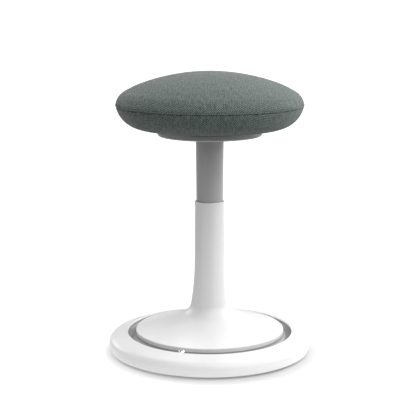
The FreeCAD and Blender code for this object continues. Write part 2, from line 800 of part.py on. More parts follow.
def make_lever_pins():
    """Pivot pins of the three levers."""
    length = lever_width + 2 * body_gap + 2 * bracket_wall
    pin = Part.makeCylinder(pivot_pin_radius, length, Vector(lever_pivot_radius, -length / 2, lever_z),
                            Vector(0, 1, 0))
    return Part.makeCompound([turned(pin, degrees) for degrees in spaced(lever_count, first_lever_deg)])


def make_lever(degrees):
    """Rocker lever: wide at its pivot and outer end, narrow at the tip over the valve pin."""
    half = lever_width / 2
    tip = lever_tip_width / 2
    corner = half * 0.6
    waist = lever_pivot_radius - bracket_half_width - 1
    outline = [(lever_tip_radius, -tip), (waist, -half), (lever_end_radius - corner, -half),
               (lever_end_radius, -half + corner), (lever_end_radius, half - corner),
               (lever_end_radius - corner, half), (waist, half), (lever_tip_radius, tip)]
    corners = [Vector(x, y, lever_bottom_z) for x, y in outline]
    strip = Part.Face(Part.makePolygon(corners + corners[:1])).extrude(Vector(0, 0, lever_thickness))
    start = Vector(lever_pivot_radius, -half, lever_z)
    across = Vector(0, 1, 0)
    hub = Part.makeCylinder(pivot_pin_radius + 1.8, lever_width, start, across)
    bore = Part.makeCylinder(pivot_pin_radius + running_gap, lever_width + 2, start - across, across)
    slot_start = lever_pivot_radius + 10
    slot = Part.makeBox(post_circle - 8 - slot_start, lever_width / 3, lever_thickness + 2,
                        Vector(slot_start, -lever_width / 6, lever_bottom_z - 1))
    return turned(strip.fuse(hub).cut(bore).cut(slot).removeSplitter(), degrees)


def make_valve_pin():
    """Valve pin with the cap that the levers press."""
    cap = cylinder(valve_cap_radius, valve_cap_top_z - valve_cap, valve_cap_top_z)
    stem = cylinder(valve_pin_radius, valve_cap_top_z - valve_pin_length, valve_cap_top_z - valve_cap)
    return cap.fuse(stem).removeSplitter()


# Release ring

def make_release_ring():
    """Dished ring under the seat: lifting its rim anywhere frees the gas cylinder."""
    inner = release_radius - release_wall
    outline = Profile(release_hole_radius, release_bottom_z)
    outline.line(release_radius - release_edge_round, release_bottom_z)
    outline.bow(release_radius, release_bottom_z + release_edge_round, -0.29 * release_edge_round)
    outline.line(release_radius, release_top_z).line(inner, release_top_z)
    outline.line(inner, release_floor_z).line(release_hole_radius, release_floor_z)
    adds = []
    for degrees in spaced(release_rib_count, 180.0 / release_rib_count):
        adds.append(radial_block(sleeve_flange_radius + 6, inner + 1, 1.5, release_floor_z - 1,
                                 release_floor_z + release_rib_height, degrees))
    for degrees in spaced(lever_count, first_lever_deg):
        adds.append(release_post(degrees))
        guide = polar(post_circle, degrees + guide_offset_deg)
        peg = polar(post_circle, degrees + spring_offset_deg)
        adds.append(cylinder(guide_head_radius + 2.6, release_floor_z - 1, guide_seat_z() + 2.3, guide))
        adds.append(cylinder(spring_radius - spring_wire, release_floor_z - 1, release_floor_z + 1.5, peg))
    ring = outline.revolve().multiFuse(adds)
    cuts = cylinders_on_circle(lever_count, post_circle, guide_radius + body_gap, 0, carrier_bottom_z,
                               first_lever_deg + guide_offset_deg)
    cuts += cylinders_on_circle(lever_count, post_circle, guide_head_radius + body_gap, 0, guide_seat_z(),
                                first_lever_deg + guide_offset_deg)
    return ring.cut(Part.makeCompound(cuts)).removeSplitter()


def guide_seat_z():
    """Returns the height at which the release ring rests on the guide screws' heads."""
    return release_bottom_z + guide_head + body_gap


def release_post(degrees):
    """Returns the post that lifts a lever's outer end; its top is domed."""
    at = polar(post_circle, degrees)
    top = lever_bottom_z - body_gap
    post = cylinder(post_radius, release_floor_z - 1, top, at)
    dome = Part.makeSphere(post_dome_radius, Vector(at.x, at.y, top - post_dome_radius))
    skirt = cylinder(post_radius + 1, release_floor_z - 2, top - post_dome_radius, at)
    return post.common(dome.fuse(skirt))


def make_guide_screws():
    """Shoulder screws that carry and guide the release ring, each with its nut."""
    screws = []
    for degrees in spaced(lever_count, first_lever_deg + guide_offset_deg):
        at = polar(post_circle, degrees)
        head_top = release_bottom_z + guide_head
        head = cylinder(guide_head_radius, release_bottom_z, head_top, at)
        socket = hexagon(at, guide_radius * 0.8, release_bottom_z - 1, release_bottom_z + 1.6)
        shoulder = cylinder(guide_radius, head_top, carrier_bottom_z - seat_gap, at)
        thread = cylinder(guide_radius - 0.5, head_top, carrier_top_z + 5, at)
        nut = hexagon(at, guide_radius * 1.5, carrier_top_z + seat_gap, carrier_top_z + 4)
        screws.append(head.cut(socket).fuse(shoulder).fuse(thread).fuse(nut).removeSplitter())
    return Part.makeCompound(screws)


def make_return_springs():
    """Short coil springs that push the release ring down onto its guide screws."""
    end_gap = body_gap + spring_wire / 2
    bottom = release_floor_z + end_gap
    height = carrier_bottom_z - end_gap - bottom
    steps = spring_turns * 8
    points = [polar(spring_radius, 45.0 * step, bottom + height * step / steps) for step in range(steps + 1)]
    arcs = [Part.Arc(*points[first:first + 3]).toShape() for first in range(0, steps, 2)]
    section = Part.Wire(Part.Circle(points[0], Vector(0, 1, 0), spring_wire / 2).toShape())
    coil = Part.Wire(arcs).makePipeShell([section], True, False)
    springs = []
    for degrees in spaced(lever_count, first_lever_deg + spring_offset_deg):
        spring = coil.copy()
        spring.translate(polar(post_circle, degrees))
        springs.append(spring)
    return Part.makeCompound(springs)


# Seat

def crown_arc():
    """Returns the crown arc's centre and radius, and where it ends at the shoulder."""
    end = (seam_radius - shoulder_width, seam_z + shoulder_height)
    drop = seat_top_z - end[1]
    radius = (end[0] ** 2 + drop ** 2) / (2 * drop)
    return (0.0, seat_top_z - radius), radius, end


def shoulder_arc():
    """Returns the centre and radius of the arc that leaves the crown smoothly and ends at the seam."""
    centre, radius, end = crown_arc()
    inward = ((centre[0] - end[0]) / radius, (centre[1] - end[1]) / radius)
    chord = (end[0] - seam_radius, end[1] - seam_z)
    along = inward[0] * chord[0] + inward[1] * chord[1]
    reach = -(chord[0] ** 2 + chord[1] ** 2) / (2 * along)
    return (end[0] + inward[0] * reach, end[1] + inward[1] * reach), reach


def belly_arc():
    """Returns the centre of the arc from the seam down to the flat underside."""
    centre_z = underside_z + belly_radius
    return seam_radius - math.sqrt(belly_radius ** 2 - (seam_z - centre_z) ** 2), centre_z


def belly_at(z, inset):
    """Returns the radius of the drawn-in side, or of a face inside it, at a height."""
    centre = belly_arc()
    return centre[0] + math.sqrt((belly_radius - inset) ** 2 - (z - centre[1]) ** 2)


def shoulder_at(z, inset):
    """Returns the radius of the shoulder, or of a face inside it, at a height."""
    centre, radius = shoulder_arc()
    return centre[0] + math.sqrt((radius - inset) ** 2 - (z - centre[1]) ** 2)


def crown_end(inset):
    """Returns where the crown meets the shoulder on a face inside the outline."""
    centre, radius, end = crown_arc()
    share = (radius - inset) / radius
    return centre[0] + (end[0] - centre[0]) * share, centre[1] + (end[1] - centre[1]) * share


def draw_crown(profile, inset, z):
    """Draws crown and shoulder outward from the axis to a height near the seam."""
    profile.round(crown_arc()[0], *crown_end(inset))
    return profile.round(shoulder_arc()[0], shoulder_at(z, inset), z)


def make_top_cover():
    """Fabric over the crown, sewn to the lower cover at the seam."""
    z = seam_z + glue_gap
    outline = Profile(0, seat_top_z)
    draw_crown(outline, 0, z)
    outline.line(shoulder_at(z, fabric), z).round(shoulder_arc()[0], *crown_end(fabric))
    outline.round(crown_arc()[0], 0, seat_top_z - fabric)
    return outline.revolve()


def make_lower_cover():
    """Fabric over the seat pan, from the seam in to the carrier."""
    edge = carrier_radius + 2.5
    centre = belly_arc()
    outline = Profile(belly_at(seam_z, 0), seam_z).round(centre, centre[0], underside_z)
    outline.line(edge, underside_z).line(edge, underside_z + fabric)
    outline.line(centre[0], underside_z + fabric).round(centre, belly_at(seam_z, fabric), seam_z)
    return outline.revolve()


def make_welt():
    """Rolled seam allowance that stands out of the seam."""
    inside = seam_radius + glue_gap
    middle = seam_z + glue_gap / 2
    outline = Profile(inside, middle + welt_radius).line(inside, middle - welt_radius)
    return outline.bow(inside, middle + welt_radius, -welt_radius).revolve()


def make_seat_pan():
    """Moulded seat pan: bowl, ribs under the board and bosses over the carrier's screws."""
    outer = fabric + glue_gap
    inner = outer + pan_wall
    top = seam_z - pan_rim_below_seam
    bottom = carrier_top_z + seat_gap
    rib_top = board_z - seat_gap
    centre = belly_arc()
    outline = Profile(seat_pan_hole_radius, bottom).line(carrier_radius + 2, bottom)
    outline.line(carrier_radius + 2, underside_z + outer).line(centre[0], underside_z + outer)
    outline.round(centre, belly_at(top, outer), top).line(belly_at(top, inner), top)
    outline.round(centre, centre[0], underside_z + inner).line(seat_pan_hole_radius, underside_z + inner)
    floor = underside_z + inner - 1
    adds = [tube(seat_rib_inner_radius, seat_rib_inner_radius - seat_rib, floor, rib_top)]
    for degrees in spaced(seat_rib_count, 180.0 / seat_rib_count):
        adds.append(radial_block(seat_rib_inner_radius - 1, board_radius() - 16, seat_rib, floor,
                                 rib_top, degrees))
    adds += cylinders_on_circle(carrier_screw_count, carrier_screw_circle, seat_boss_radius, bottom, rib_top)
    adds += cylinders_on_circle(board_screw_count, board_screw_circle(), seat_boss_radius - 1, floor,
                                rib_top)
    pan = outline.revolve().multiFuse(adds)
    cuts = cylinders_on_circle(carrier_screw_count, carrier_screw_circle, carrier_screw_radius + seat_gap,
                               bottom - 1, carrier_bottom_z + carrier_screw_length + 0.5)
    cuts += cylinders_on_circle(board_screw_count, board_screw_circle(), board_screw_radius + seat_gap,
                                board_z - 10, board_z + 1)
    return pan.cut(Part.makeCompound(cuts)).removeSplitter()


def board_radius():
    """Returns the radius of the board, which sits inside the bowl."""
    return belly_at(board_z, fabric + glue_gap + pan_wall) - board_edge_gap


def board_screw_circle():
    """Returns the radius of the circle of board screws."""
    return board_radius() - board_screw_inset


def make_board():
    """Plywood seat board on the pan's ribs."""
    board = cylinder(board_radius(), board_z, board_top_z)
    circle = board_screw_circle()
    cuts = cylinders_on_circle(board_screw_count, circle, board_screw_radius + 0.2, board_z - 1, board_top_z)
    cuts += cylinders_on_circle(board_screw_count, circle, board_screw_head_radius + 0.3,
                                board_top_z - board_screw_head, board_top_z + 1)
    return board.cut(Part.makeCompound(cuts))


def make_board_screws():
    """Screws that hold the board to the pan, heads let into the board."""
    head_z = board_top_z - board_screw_head
    screws = []
    for degrees in spaced(board_screw_count):
        at = polar(board_screw_circle(), degrees)
        screw = cylinder(board_screw_radius, board_z - 9, head_z, at)
        head = cylinder(board_screw_head_radius, head_z, board_top_z - seat_gap, at)
        screws.append(screw.fuse(head).removeSplitter())
    return Part.makeCompound(screws)


def make_carrier_screws():
    """Pan-head screws that hold the seat pan to the carrier."""
    head_z = carrier_bottom_z - seat_gap
    screws = []
    for degrees in spaced(carrier_screw_count):
        at = polar(carrier_screw_circle, degrees)
        screw = cylinder(carrier_screw_radius, head_z, carrier_bottom_z + carrier_screw_length, at)
        head = cylinder(carrier_screw_head_radius, head_z - carrier_screw_head, head_z, at)
        screws.append(screw.fuse(head).removeSplitter())
    return Part.makeCompound(screws)


def make_foam():
    """Foam block between the board, the pan's wall and the top cover."""
    inset = fabric + glue_gap
    step = seam_z - pan_rim_below_seam + glue_gap
    bottom = board_top_z + glue_gap
    wall = inset + pan_wall + glue_gap
    outline = Profile(0, seat_top_z - inset)
    draw_crown(outline, inset, seam_z)
    outline.line(belly_at(seam_z, inset), seam_z).line(belly_at(step, inset), step)
    outline.line(belly_at(step, wall), step)
    outline.round(belly_arc(), belly_at(bottom, wall), bottom).line(0, bottom)
    return outline.revolve()


def main():
    """Builds and writes every node."""
    hub_screw_seat = hub_bottom_z + hub_flange + seat_gap
    parts = {
        "rubber_sole": make_sole(),
        "base_pan": make_base_pan(),
        "ballast_ring": make_ballast(),
        "ballast_screws": make_ballast_screws(),
        "column_hub": make_hub(),
        "hub_screws": socket_screws(hub_screw_count, hub_screw_circle, hub_screw_seat),
        "ball_track": make_ball_track(),
        "ring_cover": make_ring_cover(),
        "ring_cover_screws": make_cover_screws(ring_screw_count, ring_screw_circle),
        "stem_cover": make_stem_cover(),
        "stem_cover_screws": make_cover_screws(stem_screw_count, stem_screw_circle),
        "stand_tube": make_stand_tube(),
        "tube_end_plate": make_end_plate(),
        "guide_bush": make_guide_bush(),
        "track_ball": make_track_ball(),
        "lower_thrust_washer": tube(washer_radius, rod_hole_radius, thrust_bottom_z,
                                    thrust_bottom_z + washer),
        "thrust_ring": tube(washer_radius, rod_hole_radius, thrust_ring_z, thrust_ring_z + thrust_ring),
        "upper_thrust_washer": tube(washer_radius, rod_radius + seat_gap, upper_washer_z,
                                    upper_washer_z + washer),
        "piston_rod": make_rod(),
        "rod_clip": make_clip(),
        "piston": make_piston(),
        "rubber_buffer": make_buffer(),
        "gas_cylinder": make_gas_cylinder(),
        "cylinder_gland": make_gland(),
        "column_sleeve": make_sleeve(),
        "sleeve_screws": make_sleeve_screws(),
        "seat_carrier": make_carrier(),
        "lever_pins": make_lever_pins(),
        "valve_pin": make_valve_pin(),
        "release_ring": make_release_ring(),
        "guide_screws": make_guide_screws(),
        "return_springs": make_return_springs(),
        "carrier_screws": make_carrier_screws(),
        "seat_pan": make_seat_pan(),
        "seat_board": make_board(),
        "board_screws": make_board_screws(),
        "foam_core": make_foam(),
        "top_cover": make_top_cover(),
        "lower_cover": make_lower_cover(),
        "seam_welt": make_welt(),
    }
    for number, degrees in enumerate(spaced(lever_count, first_lever_deg), start=1):
        parts["release_lever_%d" % number] = make_lever(degrees)
    for name, shape in parts.items():
        print(name, "valid" if shape.isValid() else "INVALID", len(shape.Solids), round(shape.Volume, 1))
        save(shape, name)


main()
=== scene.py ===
"""Wobble stool for a product picture: upholstery, springs, finishes, studio and camera.

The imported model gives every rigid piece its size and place, in metres with +Z up. This script
upholsters the seat, winds the return springs, gives each piece its finish and sets up a plain
white studio with a camera in front of the stool.
"""

from __future__ import annotations

import json
import logging
import math
from abc import ABC, abstractmethod
from dataclasses import dataclass, field
from enum import Enum
from typing import Callable, Iterable

import bpy
import numpy as np
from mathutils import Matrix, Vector

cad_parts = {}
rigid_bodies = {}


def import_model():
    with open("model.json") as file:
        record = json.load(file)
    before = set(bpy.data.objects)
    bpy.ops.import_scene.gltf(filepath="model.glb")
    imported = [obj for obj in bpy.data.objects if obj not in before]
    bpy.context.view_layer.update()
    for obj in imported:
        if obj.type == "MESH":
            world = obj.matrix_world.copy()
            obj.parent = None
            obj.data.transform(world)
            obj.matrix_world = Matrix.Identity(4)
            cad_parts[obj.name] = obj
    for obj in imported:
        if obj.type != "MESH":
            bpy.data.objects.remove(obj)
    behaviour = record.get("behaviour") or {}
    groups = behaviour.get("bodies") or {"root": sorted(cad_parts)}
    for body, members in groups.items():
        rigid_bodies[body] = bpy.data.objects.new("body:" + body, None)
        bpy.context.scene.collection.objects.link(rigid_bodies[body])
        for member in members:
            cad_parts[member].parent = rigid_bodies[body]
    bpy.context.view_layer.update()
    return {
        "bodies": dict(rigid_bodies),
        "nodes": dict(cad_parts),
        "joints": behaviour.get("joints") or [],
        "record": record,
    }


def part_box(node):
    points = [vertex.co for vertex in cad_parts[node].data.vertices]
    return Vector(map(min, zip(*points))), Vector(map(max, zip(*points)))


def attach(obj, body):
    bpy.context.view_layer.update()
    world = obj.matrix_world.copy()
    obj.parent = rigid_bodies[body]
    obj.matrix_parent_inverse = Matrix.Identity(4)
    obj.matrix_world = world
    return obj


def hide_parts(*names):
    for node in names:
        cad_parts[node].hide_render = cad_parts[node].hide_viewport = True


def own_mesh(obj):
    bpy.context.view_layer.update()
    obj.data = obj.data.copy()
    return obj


LOG = logging.getLogger("wobble_stool")
MM = 0.001

Colour = tuple[float, float, float]
Point = tuple[float, float]
Place = tuple[float, float, float]


def grey(value: float) -> Colour:
    """Returns a neutral colour of one linear value."""
    return (value, value, value)


class Graph:
    """Adds and links nodes in one shader tree."""

    def __init__(self, tree: bpy.types.NodeTree) -> None:
        """Keeps the tree that the nodes go into.

        Args:
            tree: A material's or a group's node tree.
        """
        self.tree = tree

    def node(self, kind: str, **settings: object) -> bpy.types.Node:
        """Adds a node.

        Args:
            kind: The node's type name.
            **settings: Properties to set on it.

        Returns:
            The new node.
        """
        made = self.tree.nodes.new(kind)
        for key, value in settings.items():
            setattr(made, key, value)
        return made

    def feed(self, socket: bpy.types.NodeSocket, value: object) -> None:
        """Links a socket to another one, or sets its value.

        Args:
            socket: The input.
            value: An output socket, a number or a tuple.
        """
        if isinstance(value, bpy.types.NodeSocket):
            self.tree.links.new(value, socket)
        else:
            socket.default_value = value

    def math(self, operation: str, *values: object, clamp: bool = False) -> bpy.types.NodeSocket:
        """Adds a math node.

        Args:
            operation: Its operation.
            *values: Numbers or sockets for its inputs.
            clamp: Whether the result stays between 0 and 1.

        Returns:
            The result.
        """
        made = self.node("ShaderNodeMath", operation=operation, use_clamp=clamp)
        for socket, value in zip(made.inputs, values):
            self.feed(socket, value)
        return made.outputs[0]

    def blend(self, factor: object, low: object, high: object) -> bpy.types.NodeSocket:
        """Mixes two colours.

        Args:
            factor: 0 for the first, 1 for the second.
            low: The first colour.
            high: The second colour.

        Returns:
            The mixed colour.
        """
        made = self.node("ShaderNodeMix", data_type="RGBA")
        self.feed(made.inputs[0], factor)
        self.feed(made.inputs[6], low if isinstance(low, bpy.types.NodeSocket) else (*low, 1.0))
        self.feed(made.inputs[7], high if isinstance(high, bpy.types.NodeSocket) else (*high, 1.0))
        return made.outputs[2]

    def stretch(self, value: object, low: float, high: float, to_low: float,
                to_high: float) -> bpy.types.NodeSocket:
        """Maps a range of values onto another, clamped.

        Args:
            value: What is mapped.
            low: Where the range starts.
            high: Where the range ends.
            to_low: What the start becomes.
            to_high: What the end becomes.

        Returns:
            The mapped value.
        """
        made = self.node("ShaderNodeMapRange", clamp=True)
        for socket, number in zip(made.inputs, (value, low, high, to_low, to_high)):
            self.feed(socket, number)
        return made.outputs[0]

    def noise(self, vector: object, scale: object, detail: float = 2.0,
              roughness: float = 0.5) -> bpy.types.NodeSocket:
        """Adds a noise texture.

        Args:
            vector: Where it is read.
            scale: Features per metre.
            detail: How many finer layers it has.
            roughness: How strong the finer layers are.

        Returns:
            The noise value.
        """
        made = self.node("ShaderNodeTexNoise")
        self.feed(made.inputs["Vector"], vector)
        self.feed(made.inputs["Scale"], scale)
        made.inputs["Detail"].default_value = detail
        made.inputs["Roughness"].default_value = roughness
        return made.outputs["Fac"]

    def length(self, across: object, along: object) -> bpy.types.NodeSocket:
        """Returns the distance that two sides at a right angle span."""
        squares = self.math("ADD", self.math("MULTIPLY", across, across),
                            self.math("MULTIPLY", along, along))
        return self.math("SQRT", squares)

    def scaled(self, vector: object, scale: tuple[float, float, float]) -> bpy.types.NodeSocket:
        """Stretches a pattern's coordinates.

        Args:
            vector: The coordinates.
            scale: Factors along X, Y and Z.

        Returns:
            The stretched coordinates.
        """
        made = self.node("ShaderNodeMapping")
        self.feed(made.inputs["Vector"], vector)
        made.inputs["Scale"].default_value = scale
        return made.outputs["Vector"]


class Effects:
    """Shader groups that more than one finish places, each built once."""

    def __init__(self) -> None:
        """Builds the groups."""
        self.grain = self._grain()
        self.rub = self._rub()
        self.turning = self._turning()
        self.weave = self._weave()

    @staticmethod
    def _open(name: str, inputs: Iterable[tuple[str, str, float]],
              outputs: Iterable[str],
              ) -> tuple[bpy.types.NodeTree, Graph, bpy.types.Node, bpy.types.Node]:
        """Starts a group.

        Args:
            name: The group's name.
            inputs: Name, socket type and starting value of each input.
            outputs: Name of each value that it puts out.

        Returns:
            The group, its graph, and its input and output nodes.
        """
        tree = bpy.data.node_groups.new(name, "ShaderNodeTree")
        for label, kind, start in inputs:
            socket = tree.interface.new_socket(name=label, in_out="INPUT", socket_type=kind)
            if kind == "NodeSocketFloat":
                socket.default_value = start
        for label in outputs:
            tree.interface.new_socket(name=label, in_out="OUTPUT", socket_type="NodeSocketFloat")
        graph = Graph(tree)
        return tree, graph, graph.node("NodeGroupInput"), graph.node("NodeGroupOutput")

    def _grain(self) -> bpy.types.NodeTree:
        """Returns the group for a moulded or cast surface: fine grain and broad mottling."""
        tree, graph, given, out = self._open(
            "surface_grain",
            [("Vector", "NodeSocketVector", 0.0), ("Per Metre", "NodeSocketFloat", 2500.0)],
            ["Height", "Mottle"])
        fine = graph.noise(given.outputs["Vector"], given.outputs["Per Metre"], 3.0, 0.6)
        broad_scale = graph.math("MULTIPLY", given.outputs["Per Metre"], 0.012)
        broad = graph.noise(given.outputs["Vector"], broad_scale, 3.0, 0.55)
        graph.feed(out.inputs["Height"], fine)
        graph.feed(out.inputs["Mottle"], graph.stretch(broad, 0.3, 0.7, 0.0, 1.0))
        return tree

    def _rub(self) -> bpy.types.NodeTree:
        """Returns the group for light handling marks: short thin scuffs in two directions."""
        tree, graph, given, out = self._open(
            "rub_marks",
            [("Vector", "NodeSocketVector", 0.0), ("Amount", "NodeSocketFloat", 0.5)],
            ["Mask"])
        along = graph.noise(graph.scaled(given.outputs["Vector"], (900.0, 60.0, 60.0)), 1.0, 1.0)
        across = graph.noise(graph.scaled(given.outputs["Vector"], (60.0, 900.0, 200.0)), 1.0, 1.0)
        patch = graph.stretch(graph.noise(given.outputs["Vector"], 25.0), 0.5, 0.75, 0.0, 1.0)
        lines = graph.math("MAXIMUM", graph.stretch(along, 0.66, 0.72, 0.0, 1.0),
                           graph.stretch(across, 0.66, 0.72, 0.0, 1.0))
        mask = graph.math("MULTIPLY", graph.math("MULTIPLY", lines, patch), given.outputs["Amount"])
        graph.feed(out.inputs["Mask"], mask)
        return tree

    def _turning(self) -> bpy.types.NodeTree:
        """Returns the group for marks that run round the column's axis, as a lathe leaves them."""
        tree, graph, given, out = self._open(
            "turning_marks",
            [("Vector", "NodeSocketVector", 0.0), ("Per Metre", "NodeSocketFloat", 3000.0)],
            ["Height", "Radius"])
        parts = graph.node("ShaderNodeSeparateXYZ")
        graph.feed(parts.inputs[0], given.outputs["Vector"])
        radius = graph.length(parts.outputs[0], parts.outputs[1])
        place = graph.node("ShaderNodeCombineXYZ")
        graph.feed(place.inputs[0], radius)
        graph.feed(place.inputs[2], parts.outputs[2])
        graph.feed(out.inputs["Height"],
                   graph.noise(place.outputs[0], given.outputs["Per Metre"], 2.0))
        graph.feed(out.inputs["Radius"], radius)
        return tree

    def _weave(self) -> bpy.types.NodeTree:
        """Returns the group for a plain weave: yarns over and under each other, with slubs."""
        tree, graph, given, out = self._open(
            "plain_weave",
            [("Vector", "NodeSocketVector", 0.0), ("Pitch", "NodeSocketFloat", 0.001)],
            ["Height", "Warp Up", "Warp Tone", "Weft Tone"])
        parts = graph.node("ShaderNodeSeparateXYZ")
        graph.feed(parts.inputs[0], given.outputs["Vector"])
        bend = graph.math("MULTIPLY", graph.noise(given.outputs["Vector"], 55.0, 2.0), 0.7)
        waves = []
        for axis in (0, 1):
            turns = graph.math("DIVIDE", parts.outputs[axis], given.outputs["Pitch"])
            phase = graph.math("MULTIPLY", graph.math("ADD", turns, bend), math.pi)
            waves.append(graph.math("SINE", phase))
        across, along = waves
        checks = graph.math("MULTIPLY", across, along)
        warp_up = graph.stretch(checks, -0.12, 0.12, 0.0, 1.0)
        warp = self._yarn(graph, across, along)
        weft = self._yarn(graph, along, across)
        rise = graph.math("SUBTRACT", warp, weft)
        height = graph.math("ADD", weft, graph.math("MULTIPLY", rise, warp_up))
        graph.feed(out.inputs["Height"], height)
        graph.feed(out.inputs["Warp Up"], warp_up)
        slubs = {"Warp Tone": (480.0, 70.0, 1.0), "Weft Tone": (70.0, 480.0, 1.0)}
        for label, stretch in slubs.items():
            slub = graph.noise(graph.scaled(given.outputs["Vector"], stretch), 1.0, 2.0, 0.6)
            graph.feed(out.inputs[label], graph.stretch(slub, 0.34, 0.66, 0.0, 1.0))
        return tree

    @staticmethod
    def _yarn(graph: Graph, across: bpy.types.NodeSocket,
              along: bpy.types.NodeSocket) -> bpy.types.NodeSocket:
        """Returns one yarn's height: round across it, and raised where it crosses over."""
        round_top = graph.math("SQRT", graph.math("ABSOLUTE", across))
        crest = graph.math("ADD", graph.math("MULTIPLY", graph.math("ABSOLUTE", along), 0.45), 0.55)
        return graph.math("MULTIPLY", round_top, crest)


@dataclass(frozen=True)
class Finish(ABC):
    """What a piece's surface is made of. Colours are linear."""

    name: str
    colour: Colour
    roughness: float

    def build(self, effects: Effects) -> bpy.types.Material:
        """Makes the material.

        Args:
            effects: The shared shader groups.

        Returns:
            The finished material.
        """
        made = bpy.data.materials.new(self.name)
        made.use_nodes = True
        graph = Graph(made.node_tree)
        shader = made.node_tree.nodes["Principled BSDF"]
        shader.inputs["Roughness"].default_value = self.roughness
        shader.inputs["Base Color"].default_value = (*self.colour, 1.0)
        place = graph.node("ShaderNodeTexCoord")
        self.paint(graph, shader, place, effects)
        return made

    @abstractmethod
    def paint(self, graph: Graph, shader: bpy.types.Node, place: bpy.types.Node,
              effects: Effects) -> None:
        """Adds this finish's nodes.

        Args:
            graph: The material's graph.
            shader: Its Principled BSDF.
            place: Its texture coordinates.
            effects: The shared shader groups.
        """

    @staticmethod
    def use(graph: Graph, group: bpy.types.NodeTree, **inputs: object) -> bpy.types.Node:
        """Places a shared group.

        Args:
            graph: The material's graph.
            group: The group.
            **inputs: Its inputs, with an underscore for each space.

        Returns:
            The placed node.
        """
        made = graph.node("ShaderNodeGroup", node_tree=group)
        for label, value in inputs.items():
            graph.feed(made.inputs[label.replace("_", " ")], value)
        return made

    @staticmethod
    def relief(graph: Graph, shader: bpy.types.Node, height: bpy.types.NodeSocket, depth: float,
               strength: float = 1.0) -> None:
        """Raises the surface by a bump.

        Args:
            graph: The material's graph.
            shader: Its Principled BSDF.
            height: The relief, from 0 to 1.
            depth: What 1 stands for, in metres.
            strength: How much of it shows.
        """
        bump = graph.node("ShaderNodeBump")
        bump.inputs["Strength"].default_value = strength
        bump.inputs["Distance"].default_value = depth
        graph.feed(bump.inputs["Height"], height)
        graph.feed(shader.inputs["Normal"], bump.outputs["Normal"])

    def vary(self, graph: Graph, shader: bpy.types.Node, mask: bpy.types.NodeSocket, spread: float,
             gloss_spread: float) -> bpy.types.NodeSocket:
        """Varies colour and roughness over the surface by a mask.

        Args:
            graph: The material's graph.
            shader: Its Principled BSDF.
            mask: From 0 to 1.
            spread: How much darker and lighter the colour gets.
            gloss_spread: How much smoother and rougher the surface gets.

        Returns:
            The varied colour.
        """
        dark = tuple(part * (1.0 - spread) for part in self.colour)
        light = tuple(min(part * (1.0 + spread), 1.0) for part in self.colour)
        colour = graph.blend(mask, dark, light)
        graph.feed(shader.inputs["Base Color"], colour)
        graph.feed(shader.inputs["Roughness"],
                   graph.stretch(mask, 0.0, 1.0, self.roughness - gloss_spread,
                                 self.roughness + gloss_spread))
        return colour


@dataclass(frozen=True)
class MouldedPlastic(Finish):
    """Injection-moulded plastic with a fine spark-eroded grain and light scuffs."""

    grain_per_metre: float = 2600.0
    grain_depth: float = 0.03 * MM
    spread: float = 0.012
    gloss_spread: float = 0.03
    scuffs: float = 0.25
    scuff_dulling: float = 0.2

    def paint(self, graph: Graph, shader: bpy.types.Node, place: bpy.types.Node,
              effects: Effects) -> None:
        """Adds grain, a faint mottle and scuffs that dull the surface."""
        spot = place.outputs["Object"]
        grain = self.use(graph, effects.grain, Vector=spot, Per_Metre=self.grain_per_metre)
        self.vary(graph, shader, grain.outputs["Mottle"], self.spread, self.gloss_spread)
        rub = self.use(graph, effects.rub, Vector=spot, Amount=self.scuffs)
        base = graph.stretch(grain.outputs["Mottle"], 0.0, 1.0,
                             self.roughness - self.gloss_spread, self.roughness + self.gloss_spread)
        dulled = graph.math("MULTIPLY", rub.outputs["Mask"], self.scuff_dulling)
        graph.feed(shader.inputs["Roughness"], graph.math("ADD", base, dulled))
        self.relief(graph, shader, grain.outputs["Height"], self.grain_depth, 0.6)


@dataclass(frozen=True)
class TrackPlastic(MouldedPlastic):
    """Grey plastic of the ball's track, polished a little where the ball rolls."""

    path_radius: float = 0.1474
    path_width: float = 3.0 * MM
    path_darkening: float = 0.86
    path_polish: float = 0.15

    def paint(self, graph: Graph, shader: bpy.types.Node, place: bpy.types.Node,
              effects: Effects) -> None:
        """Adds the moulded grain, and a smoother, slightly darker path."""
        super().paint(graph, shader, place, effects)
        turning = self.use(graph, effects.turning, Vector=place.outputs["Object"])
        off = graph.math("SUBTRACT", turning.outputs["Radius"], self.path_radius)
        off = graph.math("ABSOLUTE", off)
        path = graph.stretch(off, 0.0, self.path_width, 1.0, 0.0)
        worn = tuple(part * self.path_darkening for part in self.colour)
        graph.feed(shader.inputs["Base Color"], graph.blend(path, self.colour, worn))
        graph.feed(shader.inputs["Roughness"],
                   graph.stretch(path, 0.0, 1.0, self.roughness,
                                 self.roughness - self.path_polish))


@dataclass(frozen=True)
class TurnedSteel(Finish):
    """Bare steel with fine marks that run round the column."""

    marks_per_metre: float = 6000.0
    marks_depth: float = 0.012 * MM
    film_per_metre: float = 1500.0
    film_spread: float = 0.05
    film_gloss: float = 0.04

    def paint(self, graph: Graph, shader: bpy.types.Node, place: bpy.types.Node,
              effects: Effects) -> None:
        """Adds turning marks and a light film that varies the gloss."""
        shader.inputs["Metallic"].default_value = 1.0
        turning = self.use(graph, effects.turning, Vector=place.outputs["Object"],
                           Per_Metre=self.marks_per_metre)
        grain = self.use(graph, effects.grain, Vector=place.outputs["Object"],
                         Per_Metre=self.film_per_metre)
        self.vary(graph, shader, grain.outputs["Mottle"], self.film_spread, self.film_gloss)
        self.relief(graph, shader, turning.outputs["Height"], self.marks_depth, 0.5)


